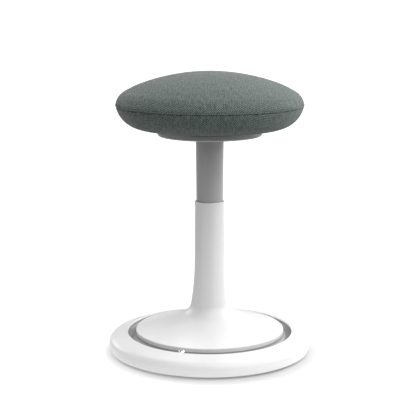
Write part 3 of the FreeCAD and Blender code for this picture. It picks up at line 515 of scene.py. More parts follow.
@dataclass(frozen=True)
class PaintedSteel(Finish):
    """Steel with a black coating that has a slight orange peel."""

    peel_per_metre: float = 700.0
    peel_depth: float = 0.03 * MM
    rubbed: float = 0.5
    bare: Colour = grey(0.25)

    def paint(self, graph: Graph, shader: bpy.types.Node, place: bpy.types.Node,
              effects: Effects) -> None:
        """Adds orange peel, and rubs that show a little metal."""
        spot = place.outputs["Object"]
        grain = self.use(graph, effects.grain, Vector=spot, Per_Metre=self.peel_per_metre)
        colour = self.vary(graph, shader, grain.outputs["Mottle"], 0.12, 0.05)
        rub = self.use(graph, effects.rub, Vector=spot, Amount=self.rubbed)
        graph.feed(shader.inputs["Base Color"],
                   graph.blend(rub.outputs["Mask"], colour, self.bare))
        self.relief(graph, shader, grain.outputs["Height"], self.peel_depth)


@dataclass(frozen=True)
class CastIron(Finish):
    """Sand-cast iron under a thin dark primer."""

    sand_per_metre: float = 900.0
    sand_depth: float = 0.25 * MM
    metal_share: float = 0.35
    # painted shade: how dark the sand's hollows are painted
    hollow_darkening: float = 0.55

    def paint(self, graph: Graph, shader: bpy.types.Node, place: bpy.types.Node,
              effects: Effects) -> None:
        """Adds the sandy skin of a casting, with painted shade in its hollows."""
        shader.inputs["Metallic"].default_value = self.metal_share
        grain = self.use(graph, effects.grain, Vector=place.outputs["Object"],
                         Per_Metre=self.sand_per_metre)
        colour = self.vary(graph, shader, grain.outputs["Mottle"], 0.2, 0.06)
        # painted shade: darker where the sand dips
        dark = tuple(part * self.hollow_darkening for part in self.colour)
        hollow = graph.stretch(grain.outputs["Height"], 0.35, 0.55, 1.0, 0.0)
        graph.feed(shader.inputs["Base Color"], graph.blend(hollow, colour, dark))
        self.relief(graph, shader, grain.outputs["Height"], self.sand_depth)


@dataclass(frozen=True)
class SoftRubber(Finish):
    """Black rubber with a dull skin and a little dust."""

    dust: Colour = (0.16, 0.15, 0.14)
    dust_share: float = 0.12
    skin_per_metre: float = 1800.0
    skin_depth: float = 0.05 * MM

    def paint(self, graph: Graph, shader: bpy.types.Node, place: bpy.types.Node,
              effects: Effects) -> None:
        """Adds a fine skin and dust in patches."""
        grain = self.use(graph, effects.grain, Vector=place.outputs["Object"],
                         Per_Metre=self.skin_per_metre)
        colour = self.vary(graph, shader, grain.outputs["Mottle"], 0.15, 0.05)
        dusty = graph.math("MULTIPLY", grain.outputs["Mottle"], self.dust_share)
        graph.feed(shader.inputs["Base Color"], graph.blend(dusty, colour, self.dust))
        self.relief(graph, shader, grain.outputs["Height"], self.skin_depth)


@dataclass(frozen=True)
class Plywood(Finish):
    """Birch plywood: long grain on its faces and thin plies at its edge."""

    dark: Colour = (0.30, 0.17, 0.08)
    ply: float = 1.4 * MM
    fibre_depth: float = 0.08 * MM

    def paint(self, graph: Graph, shader: bpy.types.Node, place: bpy.types.Node,
              effects: Effects) -> None:
        """Adds grain that runs along X, and plies stacked along Z."""
        spot = place.outputs["Object"]
        fibres = graph.noise(graph.scaled(spot, (12.0, 700.0, 900.0)), 1.0, 4.0, 0.6)
        rings = graph.noise(graph.scaled(spot, (3.0, 60.0, 60.0)), 1.0, 2.0)
        figure = graph.math("ADD", graph.math("MULTIPLY", fibres, 0.6),
                            graph.math("MULTIPLY", rings, 0.4))
        shade = graph.stretch(figure, 0.4, 0.65, 0.0, 0.55)
        parts = graph.node("ShaderNodeSeparateXYZ")
        graph.feed(parts.inputs[0], spot)
        turns = graph.math("DIVIDE", parts.outputs[2], self.ply)
        glue = graph.stretch(graph.math("FRACT", turns), 0.88, 0.98, 0.0, 0.5)
        graph.feed(shader.inputs["Base Color"],
                   graph.blend(graph.math("MAXIMUM", shade, glue), self.colour, self.dark))
        self.relief(graph, shader, fibres, self.fibre_depth)


@dataclass(frozen=True)
class CutFoam(Finish):
    """Cut polyurethane foam with open cells."""

    cells_per_metre: float = 900.0
    cell_depth: float = 0.4 * MM
    # painted shade: how dark the cells are painted inside
    cell_darkening: float = 0.6

    def paint(self, graph: Graph, shader: bpy.types.Node, place: bpy.types.Node,
              effects: Effects) -> None:
        """Adds open cells, darkened inside by painted shade."""
        cells = graph.node("ShaderNodeTexVoronoi")
        graph.feed(cells.inputs["Vector"], place.outputs["Object"])
        cells.inputs["Scale"].default_value = self.cells_per_metre
        # painted shade: darker towards each cell's middle
        wall = graph.stretch(cells.outputs["Distance"], 0.1, 0.6, 0.0, 1.0)
        dark = tuple(part * self.cell_darkening for part in self.colour)
        graph.feed(shader.inputs["Base Color"], graph.blend(wall, dark, self.colour))
        self.relief(graph, shader, wall, self.cell_depth)


@dataclass(frozen=True)
class WovenWool(Finish):
    """Woven wool blend of two greys, read on the cloth's own flat coordinates."""

    dark: Colour = (0.018, 0.024, 0.022)
    light: Colour = (0.232, 0.286, 0.266)
    pitch: float = 2.2 * MM
    relief_depth: float = 0.6 * MM
    # painted shade: how dark the weave's hollows are painted
    hollow_darkening: float = 0.4
    fuzz: float = 0.2

    def paint(self, graph: Graph, shader: bpy.types.Node, place: bpy.types.Node,
              effects: Effects) -> None:
        """Adds the weave, its mixed yarns, painted shade in the weave's hollows and a soft fuzz."""
        cloth = place.outputs["UV"]
        weave = self.use(graph, effects.weave, Vector=cloth, Pitch=self.pitch)
        warp = graph.blend(weave.outputs["Warp Tone"], self.colour, self.light)
        weft = graph.blend(weave.outputs["Weft Tone"], self.dark, self.colour)
        yarns = graph.blend(weave.outputs["Warp Up"], weft, warp)
        # painted shade: the hollows between yarns go towards a colour darker than any yarn
        hollow = graph.stretch(weave.outputs["Height"], 0.1, 0.5, 0.5, 0.0)
        painted_hollow_shade = tuple(part * self.hollow_darkening for part in self.dark)
        graph.feed(shader.inputs["Base Color"], graph.blend(hollow, yarns, painted_hollow_shade))
        shader.inputs["Sheen Weight"].default_value = self.fuzz
        shader.inputs["Sheen Roughness"].default_value = 0.5
        shader.inputs["Specular IOR Level"].default_value = 0.25
        self.relief(graph, shader, weave.outputs["Height"], self.relief_depth, 0.9)


@dataclass(frozen=True)
class StudioFloor(Finish):
    """White seamless paper, over-exposed in the picture as in a catalogue photograph."""

    left_boost: float = 0.69
    right_boost: float = 0.48
    back_boost: float = 0.8
    tooth_per_metre: float = 900.0
    tooth_spread: float = 0.004
    # painted light: beside the base the floor emits light onto the stool, though it is no lamp
    painted_glow: float = 0.75
    painted_glow_inner: float = 0.24
    painted_glow_outer: float = 0.36
    # painted shadow: a contact shadow cut into the camera's boost round the base, shifted towards
    # the camera
    shade: float = 0.48
    shade_inner: float = 0.176
    shade_outer: float = 0.204
    shade_shift: float = 0.013

    def paint(self, graph: Graph, shader: bpy.types.Node, place: bpy.types.Node,
              effects: Effects) -> None:
        """Adds a faint tooth, a camera-only boost, a painted contact shadow and a painted glow that
        lights the base.
        """
        grain = self.use(graph, effects.grain, Vector=place.outputs["Object"],
                         Per_Metre=self.tooth_per_metre)
        self.vary(graph, shader, grain.outputs["Mottle"], self.tooth_spread, 0.0)
        parts = graph.node("ShaderNodeSeparateXYZ")
        graph.feed(parts.inputs[0], place.outputs["Object"])
        away = graph.length(parts.outputs[0], parts.outputs[1])
        # painted light: a ring of floor beside the base glows for every ray but the camera's
        painted_glow = graph.stretch(away, self.painted_glow_inner, self.painted_glow_outer, self.painted_glow, 0.0)
        side = graph.stretch(parts.outputs[0], -0.14, 0.12, self.left_boost, self.right_boost)
        back = graph.stretch(parts.outputs[1], 0.15, 1.6, 0.0, self.back_boost)
        # painted shadow: close round the base the boost drops to a share of itself
        forward = graph.math("ADD", parts.outputs[1], self.shade_shift)
        shade = graph.stretch(graph.length(parts.outputs[0], forward),
                              self.shade_inner, self.shade_outer, self.shade, 1.0)
        boost = graph.math("MULTIPLY", graph.math("ADD", side, back), shade)
        # the camera sees the boost, and every other ray sees the painted glow
        by_camera = graph.node("ShaderNodeLightPath").outputs["Is Camera Ray"]
        change = graph.math("MULTIPLY", graph.math("SUBTRACT", boost, painted_glow), by_camera)
        given = graph.math("ADD", painted_glow, change)
        graph.feed(shader.inputs["Emission Color"], graph.blend(given, grey(0.0), grey(1.0)))
        shader.inputs["Emission Strength"].default_value = 1.0


class Slot(Enum):
    """The record's material slots, each with its finish."""

    WHITE_PLASTIC = MouldedPlastic("white_plastic", grey(0.83), 0.42)
    TRACK_GREY = TrackPlastic("track_grey", grey(0.30), 0.45)
    SLEEVE_GREY = MouldedPlastic("dark_grey_plastic", grey(0.42), 0.45, spread=0.02)
    BLACK_NYLON = MouldedPlastic("black_nylon", grey(0.03), 0.5, spread=0.1)
    RUBBER = SoftRubber("rubber", grey(0.03), 0.85)
    CAST_IRON = CastIron("cast_iron", grey(0.09), 0.65)
    BRIGHT_STEEL = TurnedSteel("bright_steel", grey(0.72), 0.12, marks_depth=0.004 * MM)
    PLAIN_STEEL = TurnedSteel("plain_steel", (0.55, 0.54, 0.50), 0.32)
    BLACK_STEEL = PaintedSteel("black_steel", grey(0.025), 0.4)
    PLYWOOD = Plywood("plywood", (0.58, 0.40, 0.23), 0.6)
    FOAM = CutFoam("foam", (0.72, 0.66, 0.50), 0.9)
    WOVEN_FABRIC = WovenWool("woven_fabric", (0.098, 0.123, 0.114), 0.9)


class Wardrobe:
    """Holds one material for each slot."""

    def __init__(self) -> None:
        """Builds every slot's material."""
        effects = Effects()
        self.materials = {slot.value.name: slot.value.build(effects) for slot in Slot}
        self.paper = StudioFloor("studio_paper", grey(0.36), 0.9).build(effects)

    def dress(self, piece: bpy.types.Object, slot: Slot) -> None:
        """Gives a new piece the finish of a slot.

        Args:
            piece: The piece.
            slot: The slot whose finish it takes.
        """
        piece.data.materials.clear()
        piece.data.materials.append(self.materials[slot.value.name])

    def dress_frame(self, frame: dict) -> None:
        """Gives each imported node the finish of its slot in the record.
        """
        for part in frame["record"]["subparts"]:
            node = frame["nodes"][part["node"]]
            for place in node.material_slots:
                place.material = self.materials[part["material_slot"]]


def deselect() -> None:
    """Leaves object mode with nothing selected."""
    if bpy.context.object and bpy.context.object.mode != "OBJECT":
        bpy.ops.object.mode_set(mode="OBJECT")
    bpy.ops.object.select_all(action="DESELECT")


def activate(piece: bpy.types.Object) -> None:
    """Makes a piece the only selected and active object."""
    deselect()
    piece.select_set(True)
    bpy.context.view_layer.objects.active = piece


def select_faces(piece: bpy.types.Object, wanted: Callable[[Vector], bool]) -> int:
    """Selects a piece's faces by the place of their centres and stays in edit mode.

    Args:
        piece: The piece.
        wanted: Tells for a centre whether its face is wanted.

    Returns:
        How many faces are selected.
    """
    activate(piece)
    bpy.ops.object.mode_set(mode="EDIT")
    bpy.ops.mesh.select_mode(type="FACE")
    bpy.ops.mesh.select_all(action="DESELECT")
    bpy.ops.object.mode_set(mode="OBJECT")
    count = 0
    for face in piece.data.polygons:
        face.select = wanted(face.center)
        count += face.select
    bpy.ops.object.mode_set(mode="EDIT")
    return count


def apply_modifier(piece: bpy.types.Object, kind: str, **settings: object) -> None:
    """Adds a modifier to a piece and applies it.

    Args:
        piece: The piece.
        kind: The modifier's type name.
        **settings: Its properties.
    """
    activate(piece)
    made = piece.modifiers.new(kind.title(), kind)
    for key, value in settings.items():
        setattr(made, key, value)
    bpy.ops.object.modifier_apply(modifier=made.name)


def coordinates(piece: bpy.types.Object) -> np.ndarray:
    """Returns a copy of a mesh's points, one row each."""
    points = np.empty(len(piece.data.vertices) * 3)
    piece.data.vertices.foreach_get("co", points)
    return points.reshape(-1, 3)


def move_points(piece: bpy.types.Object, points: np.ndarray) -> None:
    """Sets a mesh's points."""
    piece.data.vertices.foreach_set("co", points.ravel())
    piece.data.update()


def normals(piece: bpy.types.Object) -> np.ndarray:
    """Returns the outward direction at each of a mesh's points."""
    directions = np.empty(len(piece.data.vertices) * 3)
    piece.data.vertices.foreach_get("normal", directions)
    return directions.reshape(-1, 3)


def evened(piece: bpy.types.Object, values: np.ndarray, rounds: int) -> np.ndarray:
    """Averages a value at each point with its neighbours.

    Args:
        piece: The piece whose edges join the points.
        values: One value for each point.
        rounds: How often it is averaged.

    Returns:
        The evened values.
    """
    pairs = np.empty(len(piece.data.edges) * 2, dtype=int)
    piece.data.edges.foreach_get("vertices", pairs)
    starts, ends = pairs.reshape(-1, 2).T
    count = np.bincount(starts, minlength=len(values)) + np.bincount(ends, minlength=len(values))
    for _ in range(rounds):
        total = np.bincount(starts, values[ends], len(values))
        total += np.bincount(ends, values[starts], len(values))
        values = 0.5 * values + 0.5 * total / np.maximum(count, 1)
    return values


def cloth_layer(piece: bpy.types.Object) -> bpy.types.MeshUVLoopLayer:
    """Returns an empty layer for flat coordinates, the piece's only one.

    Args:
        piece: The mesh object.

    Returns:
        The layer.
    """
    layers = piece.data.uv_layers
    while layers:
        layers.remove(layers[0])
    return layers.new(name="cloth")


def arc_points(centre: Point, radius: float, start: float, end: float, steps: int) -> list[Point]:
    """Works out points along an arc, without its first.

    Args:
        centre: The arc's centre.
        radius: Its radius.
        start: Its first angle in radians.
        end: Its last angle in radians.
        steps: How many points it gets.

    Returns:
        The points in order.
    """
    angles = [start + (end - start) * step / steps for step in range(1, steps + 1)]
    return [(centre[0] + radius * math.cos(a), centre[1] + radius * math.sin(a)) for a in angles]


def grown(name: str, line: list[Place]) -> bpy.types.Object:
    """Grows a line of edges from one vertex and stays in edit mode with all of it selected.

    Args:
        name: The piece's name.
        line: The places it runs through.

    Returns:
        The piece.
    """
    deselect()
    bpy.ops.mesh.primitive_plane_add(size=1.0 * MM)
    piece = bpy.context.object
    piece.name = name
    bpy.ops.object.mode_set(mode="EDIT")
    bpy.ops.mesh.select_mode(type="VERT")
    bpy.ops.mesh.select_all(action="SELECT")
    bpy.ops.mesh.merge(type="CENTER")
    bpy.ops.transform.translate(value=line[0])
    for start, end in zip(line[:-1], line[1:]):
        step = tuple(b - a for a, b in zip(start, end))
        bpy.ops.mesh.extrude_region_move(TRANSFORM_OT_translate={"value": step})
    bpy.ops.mesh.select_all(action="SELECT")
    bpy.ops.mesh.remove_doubles(threshold=0.001 * MM)
    return piece


def turned(name: str, outline: list[Point], steps: int,
           smooth_deg: float = 35.0) -> bpy.types.Object:
    """Models a turned piece: grows its half outline and spins it about the column's axis.

    Args:
        name: The piece's name.
        outline: Radius and height of each point.
        steps: How many steps go round.
        smooth_deg: Edges under this angle are shaded smooth.

    Returns:
        The piece, with its place in its mesh.
    """
    piece = grown(name, [(radius, 0.0, height) for radius, height in outline])
    bpy.ops.mesh.spin(steps=steps, angle=math.tau, center=(0.0, 0.0, 0.0), axis=(0.0, 0.0, 1.0))
    bpy.ops.mesh.select_all(action="SELECT")
    bpy.ops.mesh.remove_doubles(threshold=0.001 * MM)
    bpy.ops.mesh.normals_make_consistent(inside=False)
    bpy.ops.object.mode_set(mode="OBJECT")
    bpy.ops.object.shade_smooth_by_angle(angle=math.radians(smooth_deg))
    return piece


@dataclass
class CushionForm:
    """Outline of the cushion, in metres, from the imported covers' boxes and three arcs."""

    shoulder_width: float = 18.6 * MM
    shoulder_height: float = 27.3 * MM
    belly_radius: float = 51.4 * MM
    fabric: float = 1.2 * MM
    seam_radius: float = field(init=False)
    seam_z: float = field(init=False)
    top_z: float = field(init=False)
    underside_z: float = field(init=False)
    hole_radius: float = field(init=False)

    def __post_init__(self) -> None:
        """Reads the covers' boxes, then works out the three arcs."""
        low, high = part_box("lower_cover")
        self.seam_radius = high.x
        self.underside_z = low.z
        self.seam_z = high.z
        self.top_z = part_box("top_cover")[1].z
        self.hole_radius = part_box("seat_carrier")[1].x + 2.5 * MM
        end = (self.seam_radius - self.shoulder_width, self.seam_z + self.shoulder_height)
        drop = self.top_z - end[1]
        self.crown_radius = (end[0] ** 2 + drop ** 2) / (2.0 * drop)
        self.crown = (0.0, self.top_z - self.crown_radius)
        self.crown_end = end
        inward = ((self.crown[0] - end[0]) / self.crown_radius,
                  (self.crown[1] - end[1]) / self.crown_radius)
        chord = (end[0] - self.seam_radius, end[1] - self.seam_z)
        along = inward[0] * chord[0] + inward[1] * chord[1]
        self.shoulder_radius = -(chord[0] ** 2 + chord[1] ** 2) / (2.0 * along)
        self.shoulder = (end[0] + inward[0] * self.shoulder_radius,
                         end[1] + inward[1] * self.shoulder_radius)
        belly_z = self.underside_z + self.belly_radius
        reach = math.sqrt(self.belly_radius ** 2 - (self.seam_z - belly_z) ** 2)
        self.belly = (self.seam_radius - reach, belly_z)

    def upper(self, inset: float, steps: int = 40) -> list[Point]:
        """Returns points from the top centre to the seam.

        Args:
            inset: How far inside the outline they lie.
            steps: How many points the crown gets.

        Returns:
            The points, from the axis outward.
        """
        crown_stop = math.atan2(self.crown_end[1] - self.crown[1],
                                self.crown_end[0] - self.crown[0])
        points = [(0.0, self.top_z - inset)]
        points += arc_points(self.crown, self.crown_radius - inset, math.pi / 2, crown_stop, steps)
        radius = self.shoulder_radius - inset
        seam_turn = math.asin((self.seam_z - self.shoulder[1]) / radius)
        return points + arc_points(self.shoulder, radius, crown_stop, seam_turn, steps // 3)

    def lower(self, inset: float, steps: int = 20) -> list[Point]:
        """Returns points from the seam to the flat underside.

        Args:
            inset: How far inside the outline they lie.
            steps: How many points the belly gets.

        Returns:
            The points, from the seam inward.
        """
        radius = self.belly_radius - inset
        start = math.asin((self.seam_z - self.belly[1]) / radius)
        first = (self.belly[0] + radius * math.cos(start), self.seam_z)
        return [first] + arc_points(self.belly, radius, start, -math.pi / 2, steps)


@dataclass
class SeatCushion:
    """The upholstered cushion: padded cover, sewn seam and foam, with its sizes in metres."""

    form: CushionForm
    wardrobe: Wardrobe
    body: str = "seat"
    fill: float = 0.9
    ring_steps: int = 96
    upper_steps: int = 90
    lower_steps: int = 60
    voxel: float = 4.5 * MM
    slack: float = 1.6 * MM
    slack_reach: float = 30.0 * MM
    evening_rounds: int = 6
    seam_band: float = 7.0 * MM
    seam_band_width: float = 12.0 * MM
    seam_reach: float = 25.0 * MM
    groove_depth: float = 1.7 * MM
    groove_width: float = 1.2 * MM
    groove_drop: float = 1.4 * MM
    pucker_depth: float = 1.3 * MM
    pucker_reach: float = 8.0 * MM
    welt_radius: float = 1.1 * MM
    welt_inset: float = 0.7 * MM
    pinch_depth: float = 0.25 * MM
    stitches: int = 232
    pan_wall: float = 3.6 * MM
    pan_clearance: float = 0.1 * MM
    foam_clearance: float = 0.5 * MM

    def build(self) -> list[bpy.types.Object]:
        """Makes the cushion's pieces.

        Returns:
            The pieces, riding on the seat.
        """
        cover = self.make_cover()
        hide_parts("top_cover", "lower_cover")
        foam = self.make_foam()
        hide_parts("foam_core")
        welt = self.make_welt()
        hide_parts("seam_welt")
        for piece in (cover, foam, welt):
            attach(piece, self.body)
        self.wardrobe.dress(cover, Slot.WOVEN_FABRIC)
        self.wardrobe.dress(foam, Slot.FOAM)
        self.wardrobe.dress(welt, Slot.WOVEN_FABRIC)
        return [cover, foam, welt]

    def make_cover(self) -> bpy.types.Object:
        """Models the stuffed cover.

        Returns:
            The cover, open underneath for the carrier, with its own flat coordinates.
        """
        form = self.form
        outline = form.upper(0.0) + form.lower(0.0)[1:]
        outline.append((0.0, form.underside_z))
        cover = turned("cushion_cover", outline, self.ring_steps)
        cover.data.remesh_voxel_size = self.voxel
        bpy.ops.object.voxel_remesh()
        self.fit(cover)
        self.slacken(cover)
        self.stuff(cover)
        apply_modifier(cover, "SUBSURF", levels=1, render_levels=1)
        self.open_underside(cover)
        self.sew(cover)
        self.lay_flat(cover)
        apply_modifier(cover, "SOLIDIFY", thickness=form.fabric, offset=-1.0)
        bpy.ops.object.shade_smooth()
        return cover

    def fit(self, cover: bpy.types.Object) -> None:
        """Moves the remeshed points onto the outline itself.

        Args:
            cover: The cover's mesh.
        """
        form = self.form
        points = coordinates(cover)
        radius = np.hypot(points[:, 0], points[:, 1])
        height = points[:, 2]
        outline = form.upper(0.0, self.upper_steps) + form.lower(0.0, self.lower_steps)[1:]
        outline = np.array(outline + [(0.0, form.underside_z)])
        place = self.nearest(outline, radius, height)
        scale = np.divide(place[:, 0], radius, out=np.ones_like(radius), where=radius > 1e-6)
        points[:, 0] *= scale
        points[:, 1] *= scale
        points[:, 2] = place[:, 1]
        move_points(cover, points)

    @staticmethod
    def nearest(outline: np.ndarray, radius: np.ndarray, height: np.ndarray) -> np.ndarray:
        """Finds the nearest place on an outline for each point.

        Args:
            outline: The outline's points.
            radius: The points' radii.
            height: The points' heights.

        Returns:
            Radius, height and the distance run along the outline, one row for each point.
        """
        best = np.full(len(radius), 1e9)
        found = np.zeros((len(radius), 3))
        run = 0.0
        for start, end in zip(outline[:-1], outline[1:]):
            way = end - start
            length = float(np.hypot(*way))
            share = ((radius - start[0]) * way[0] + (height - start[1]) * way[1]) / length ** 2
            share = np.clip(share, 0.0, 1.0)
            near = start + share[:, None] * way
            gap = np.hypot(near[:, 0] - radius, near[:, 1] - height)
            closer = gap < best
            best[closer] = gap[closer]
            found[closer, :2] = near[closer]
            found[closer, 2] = run + share[closer] * length
            run += length
        return found

    def slacken(self, cover: bpy.types.Object) -> None:
        """Draws the panels in between seam and pan, as they hang before they are stuffed.

        Args:
            cover: The cover's mesh.
        """
        form = self.form
        points = coordinates(cover)
        radius = np.hypot(points[:, 0], points[:, 1])
        away = np.hypot(radius - form.seam_radius, points[:, 2] - form.seam_z)
        above_pan = points[:, 2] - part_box("seat_pan")[1].z
        share = np.clip(away / self.slack_reach, 0.0, 1.0)
        share *= np.clip(above_pan / self.voxel, 0.0, 1.0)
        move_points(cover, points - normals(cover) * (self.slack * share)[:, None])

    def stuff(self, cover: bpy.types.Object) -> None:
        """Lets the filling push the cloth out, held at the seam and over the pan.

        Args:
            cover: The cover's mesh.
        """
        form = self.form
        rest = coordinates(cover)
        outward = normals(cover)
        at_seam = np.abs(rest[:, 2] - form.seam_z) < self.voxel * 0.6
        under = rest[:, 2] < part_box("seat_pan")[1].z
        held = cover.vertex_groups.new(name="held")
        held.add([int(i) for i in np.flatnonzero(at_seam | under)], 1.0, "REPLACE")
        cloth = cover.modifiers.new("Cloth", "CLOTH")
        settings = cloth.settings
        settings.quality = 6
        settings.mass = 0.25
        settings.tension_stiffness = 40.0
        settings.compression_stiffness = 20.0
        settings.bending_stiffness = 2.0
        settings.use_pressure = True
        settings.uniform_pressure_force = 4.0
        settings.vertex_group_mass = held.name
        settings.effector_weights.gravity = 0.0
        cloth.point_cache.frame_end = 20
        scene = bpy.context.scene
        for frame in range(1, 21):
            scene.frame_set(frame)
        activate(cover)
        bpy.ops.object.modifier_apply(modifier=cloth.name)
        scene.frame_set(1)
        swell = ((coordinates(cover) - rest) * outward).sum(axis=1)
        LOG.info("stuffing pushed the cover out by up to %.2f mm", swell.max() / MM)
        swell = evened(cover, np.clip(swell, 0.0, self.slack), self.evening_rounds)
        move_points(cover, rest + outward * swell[:, None])

    def open_underside(self, cover: bpy.types.Object) -> None:
        """Cuts the hole for the carrier out of the underside and rounds its edge.

        Args:
            cover: The cover's mesh.
        """
        form = self.form
        select_faces(cover, lambda at: at.z < form.underside_z + 4.0 * MM
                     and math.hypot(at.x, at.y) < form.hole_radius)
        bpy.ops.mesh.delete(type="FACE")
        bpy.ops.object.mode_set(mode="OBJECT")
        points = coordinates(cover)
        counts = np.zeros(len(points), int)
        edges_used: dict[tuple[int, int], int] = {}
        for face in cover.data.polygons:
            for key in face.edge_keys:
                edges_used[key] = edges_used.get(key, 0) + 1
        for key, used in edges_used.items():
            if used == 1:
                counts[list(key)] += 1
        rim = counts > 0
        scale = form.hole_radius / np.hypot(points[rim, 0], points[rim, 1])
        points[rim, 0] *= scale
        points[rim, 1] *= scale
        points[rim, 2] = form.underside_z
        move_points(cover, points)

    def sew(self, cover: bpy.types.Object) -> None:
        """Draws the cloth in at the seam, with small puckers beside it.

        Args:
            cover: The cover's mesh.
        """
        form = self.form
        select_faces(cover, lambda at: abs(at.z - form.seam_z) < self.seam_band
                     and math.hypot(at.x, at.y) > form.seam_radius - self.seam_band_width)
        bpy.ops.mesh.subdivide(number_cuts=2)
        bpy.ops.object.mode_set(mode="OBJECT")
        points = coordinates(cover)
        radius = np.hypot(points[:, 0], points[:, 1])
        turn = np.arctan2(points[:, 1], points[:, 0])
        off = points[:, 2] - form.seam_z
        outside = radius > form.seam_radius - self.seam_reach
        fade = np.exp(-np.abs(off) / self.pucker_reach) * outside
        below = np.exp(-((off + self.groove_drop) / self.groove_width) ** 2)
        above = 0.4 * np.exp(-((off - self.groove_drop) / (0.6 * self.groove_width)) ** 2)
        groove = self.groove_depth * (below + above) * outside
        draw = groove + self.pucker_depth * fade * self.puckers(turn, np.where(off > 0, 0.0, 2.1))
        points[:, 0] -= draw * points[:, 0] / np.maximum(radius, 1e-6)
        points[:, 1] -= draw * points[:, 1] / np.maximum(radius, 1e-6)
        move_points(cover, points)

    @staticmethod
    def puckers(turn: np.ndarray, shift: np.ndarray) -> np.ndarray:
        """Returns an uneven ripple round the seam, about 0 on average.

        Args:
            turn: Angles about the column.
            shift: Phase of each point, so that both panels pucker differently.

        Returns:
            The ripple, from about -1 to 1.
        """
        ripple = np.sin(47.0 * turn + 1.3 * np.sin(5.0 * turn) + shift)
        ripple += 0.6 * np.sin(29.0 * turn + 2.0 * np.sin(3.0 * turn + 1.0) + 1.7 * shift)
        patches = 0.55 + 0.45 * np.sin(4.0 * turn + 0.8) * np.sin(7.0 * turn + 2.0)
        return 0.6 * ripple * patches

    def lay_flat(self, cover: bpy.types.Object) -> None:
        """Gives each panel its flat coordinates in metres, so the weave keeps its size.

        Args:
            cover: The cover's mesh.
        """
        form = self.form
        points = coordinates(cover)
        radius = np.hypot(points[:, 0], points[:, 1])
        height = points[:, 2]
        above = np.array(form.upper(0.0, self.upper_steps))
        below = np.array(form.lower(0.0, self.lower_steps) + [(0.0, form.underside_z)])
        upper = self.nearest(above, radius, height)[:, 2]
        lower = form.seam_radius - self.nearest(below, radius, height)[:, 2]
        turn = np.arctan2(points[:, 1], points[:, 0])
        layer = cloth_layer(cover)
        values = np.zeros((len(cover.data.loops), 2))
        for face in cover.data.polygons:
            flat = upper if face.center.z > form.seam_z else lower
            for loop in face.loop_indices:
                point = cover.data.loops[loop].vertex_index
                values[loop] = (flat[point] * math.cos(turn[point]),
                                flat[point] * math.sin(turn[point]))
        layer.data.foreach_set("uv", values.ravel())

    def make_foam(self) -> bpy.types.Object:
        """Models the foam under the cover, with a hollow for the board.

        Returns:
            The foam block.
        """
        form = self.form
        low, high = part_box("foam_core")
        board_top = low.z
        pan_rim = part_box("seat_pan")[1].z + self.pan_clearance
        inset = form.fabric + self.slack + self.foam_clearance
        outline = form.upper(inset)
        outline += [point for point in form.lower(inset)[1:] if point[1] > pan_rim]
        reach = outline[-1][0]
        outline += [(reach - self.foam_clearance, pan_rim), (reach - self.pan_wall, pan_rim)]
        radius = form.belly_radius - inset - self.pan_wall
        stop = math.asin((board_top - form.belly[1]) / radius)
        start = math.asin((pan_rim - form.belly[1]) / radius)
        outline += arc_points(form.belly, radius, start, stop, 8)
        outline.append((0.0, board_top))
        return turned("cushion_foam", outline, self.ring_steps)

    def make_welt(self) -> bpy.types.Object:
        """Models the rolled edge in the seam, pinched by each stitch.

        Returns:
            The welt, with its own flat coordinates.
        """
        form = self.form
        centre = (form.seam_radius - self.welt_inset, form.seam_z)
        section = [(centre[0], centre[1] - self.welt_radius)]
        section += arc_points(centre, self.welt_radius, -math.pi / 2, math.pi / 2, 6)
        welt = turned("cushion_welt", section, self.stitches * 4, 60.0)
        points = coordinates(welt)
        turn = np.arctan2(points[:, 1], points[:, 0])
        radius = np.hypot(points[:, 0], points[:, 1])
        pinch = 0.5 - 0.5 * np.cos(self.stitches * turn)
        share = np.clip((radius - centre[0]) / self.welt_radius, 0.0, 1.0)
        ripple = self.puckers(turn, np.zeros_like(turn))
        drawn = share * (self.pinch_depth * pinch + 0.5 * self.pucker_depth * ripple)
        points[:, 0] -= drawn * np.cos(turn)
        points[:, 1] -= drawn * np.sin(turn)
        points[:, 2] += share * self.pinch_depth * np.sin(self.stitches * turn)
        move_points(welt, points)
        layer = cloth_layer(welt)
        for loop in welt.data.loops:
            point = loop.vertex_index
            layer.data[loop.index].uv = (turn[point] * form.seam_radius, points[point, 2])
        return welt


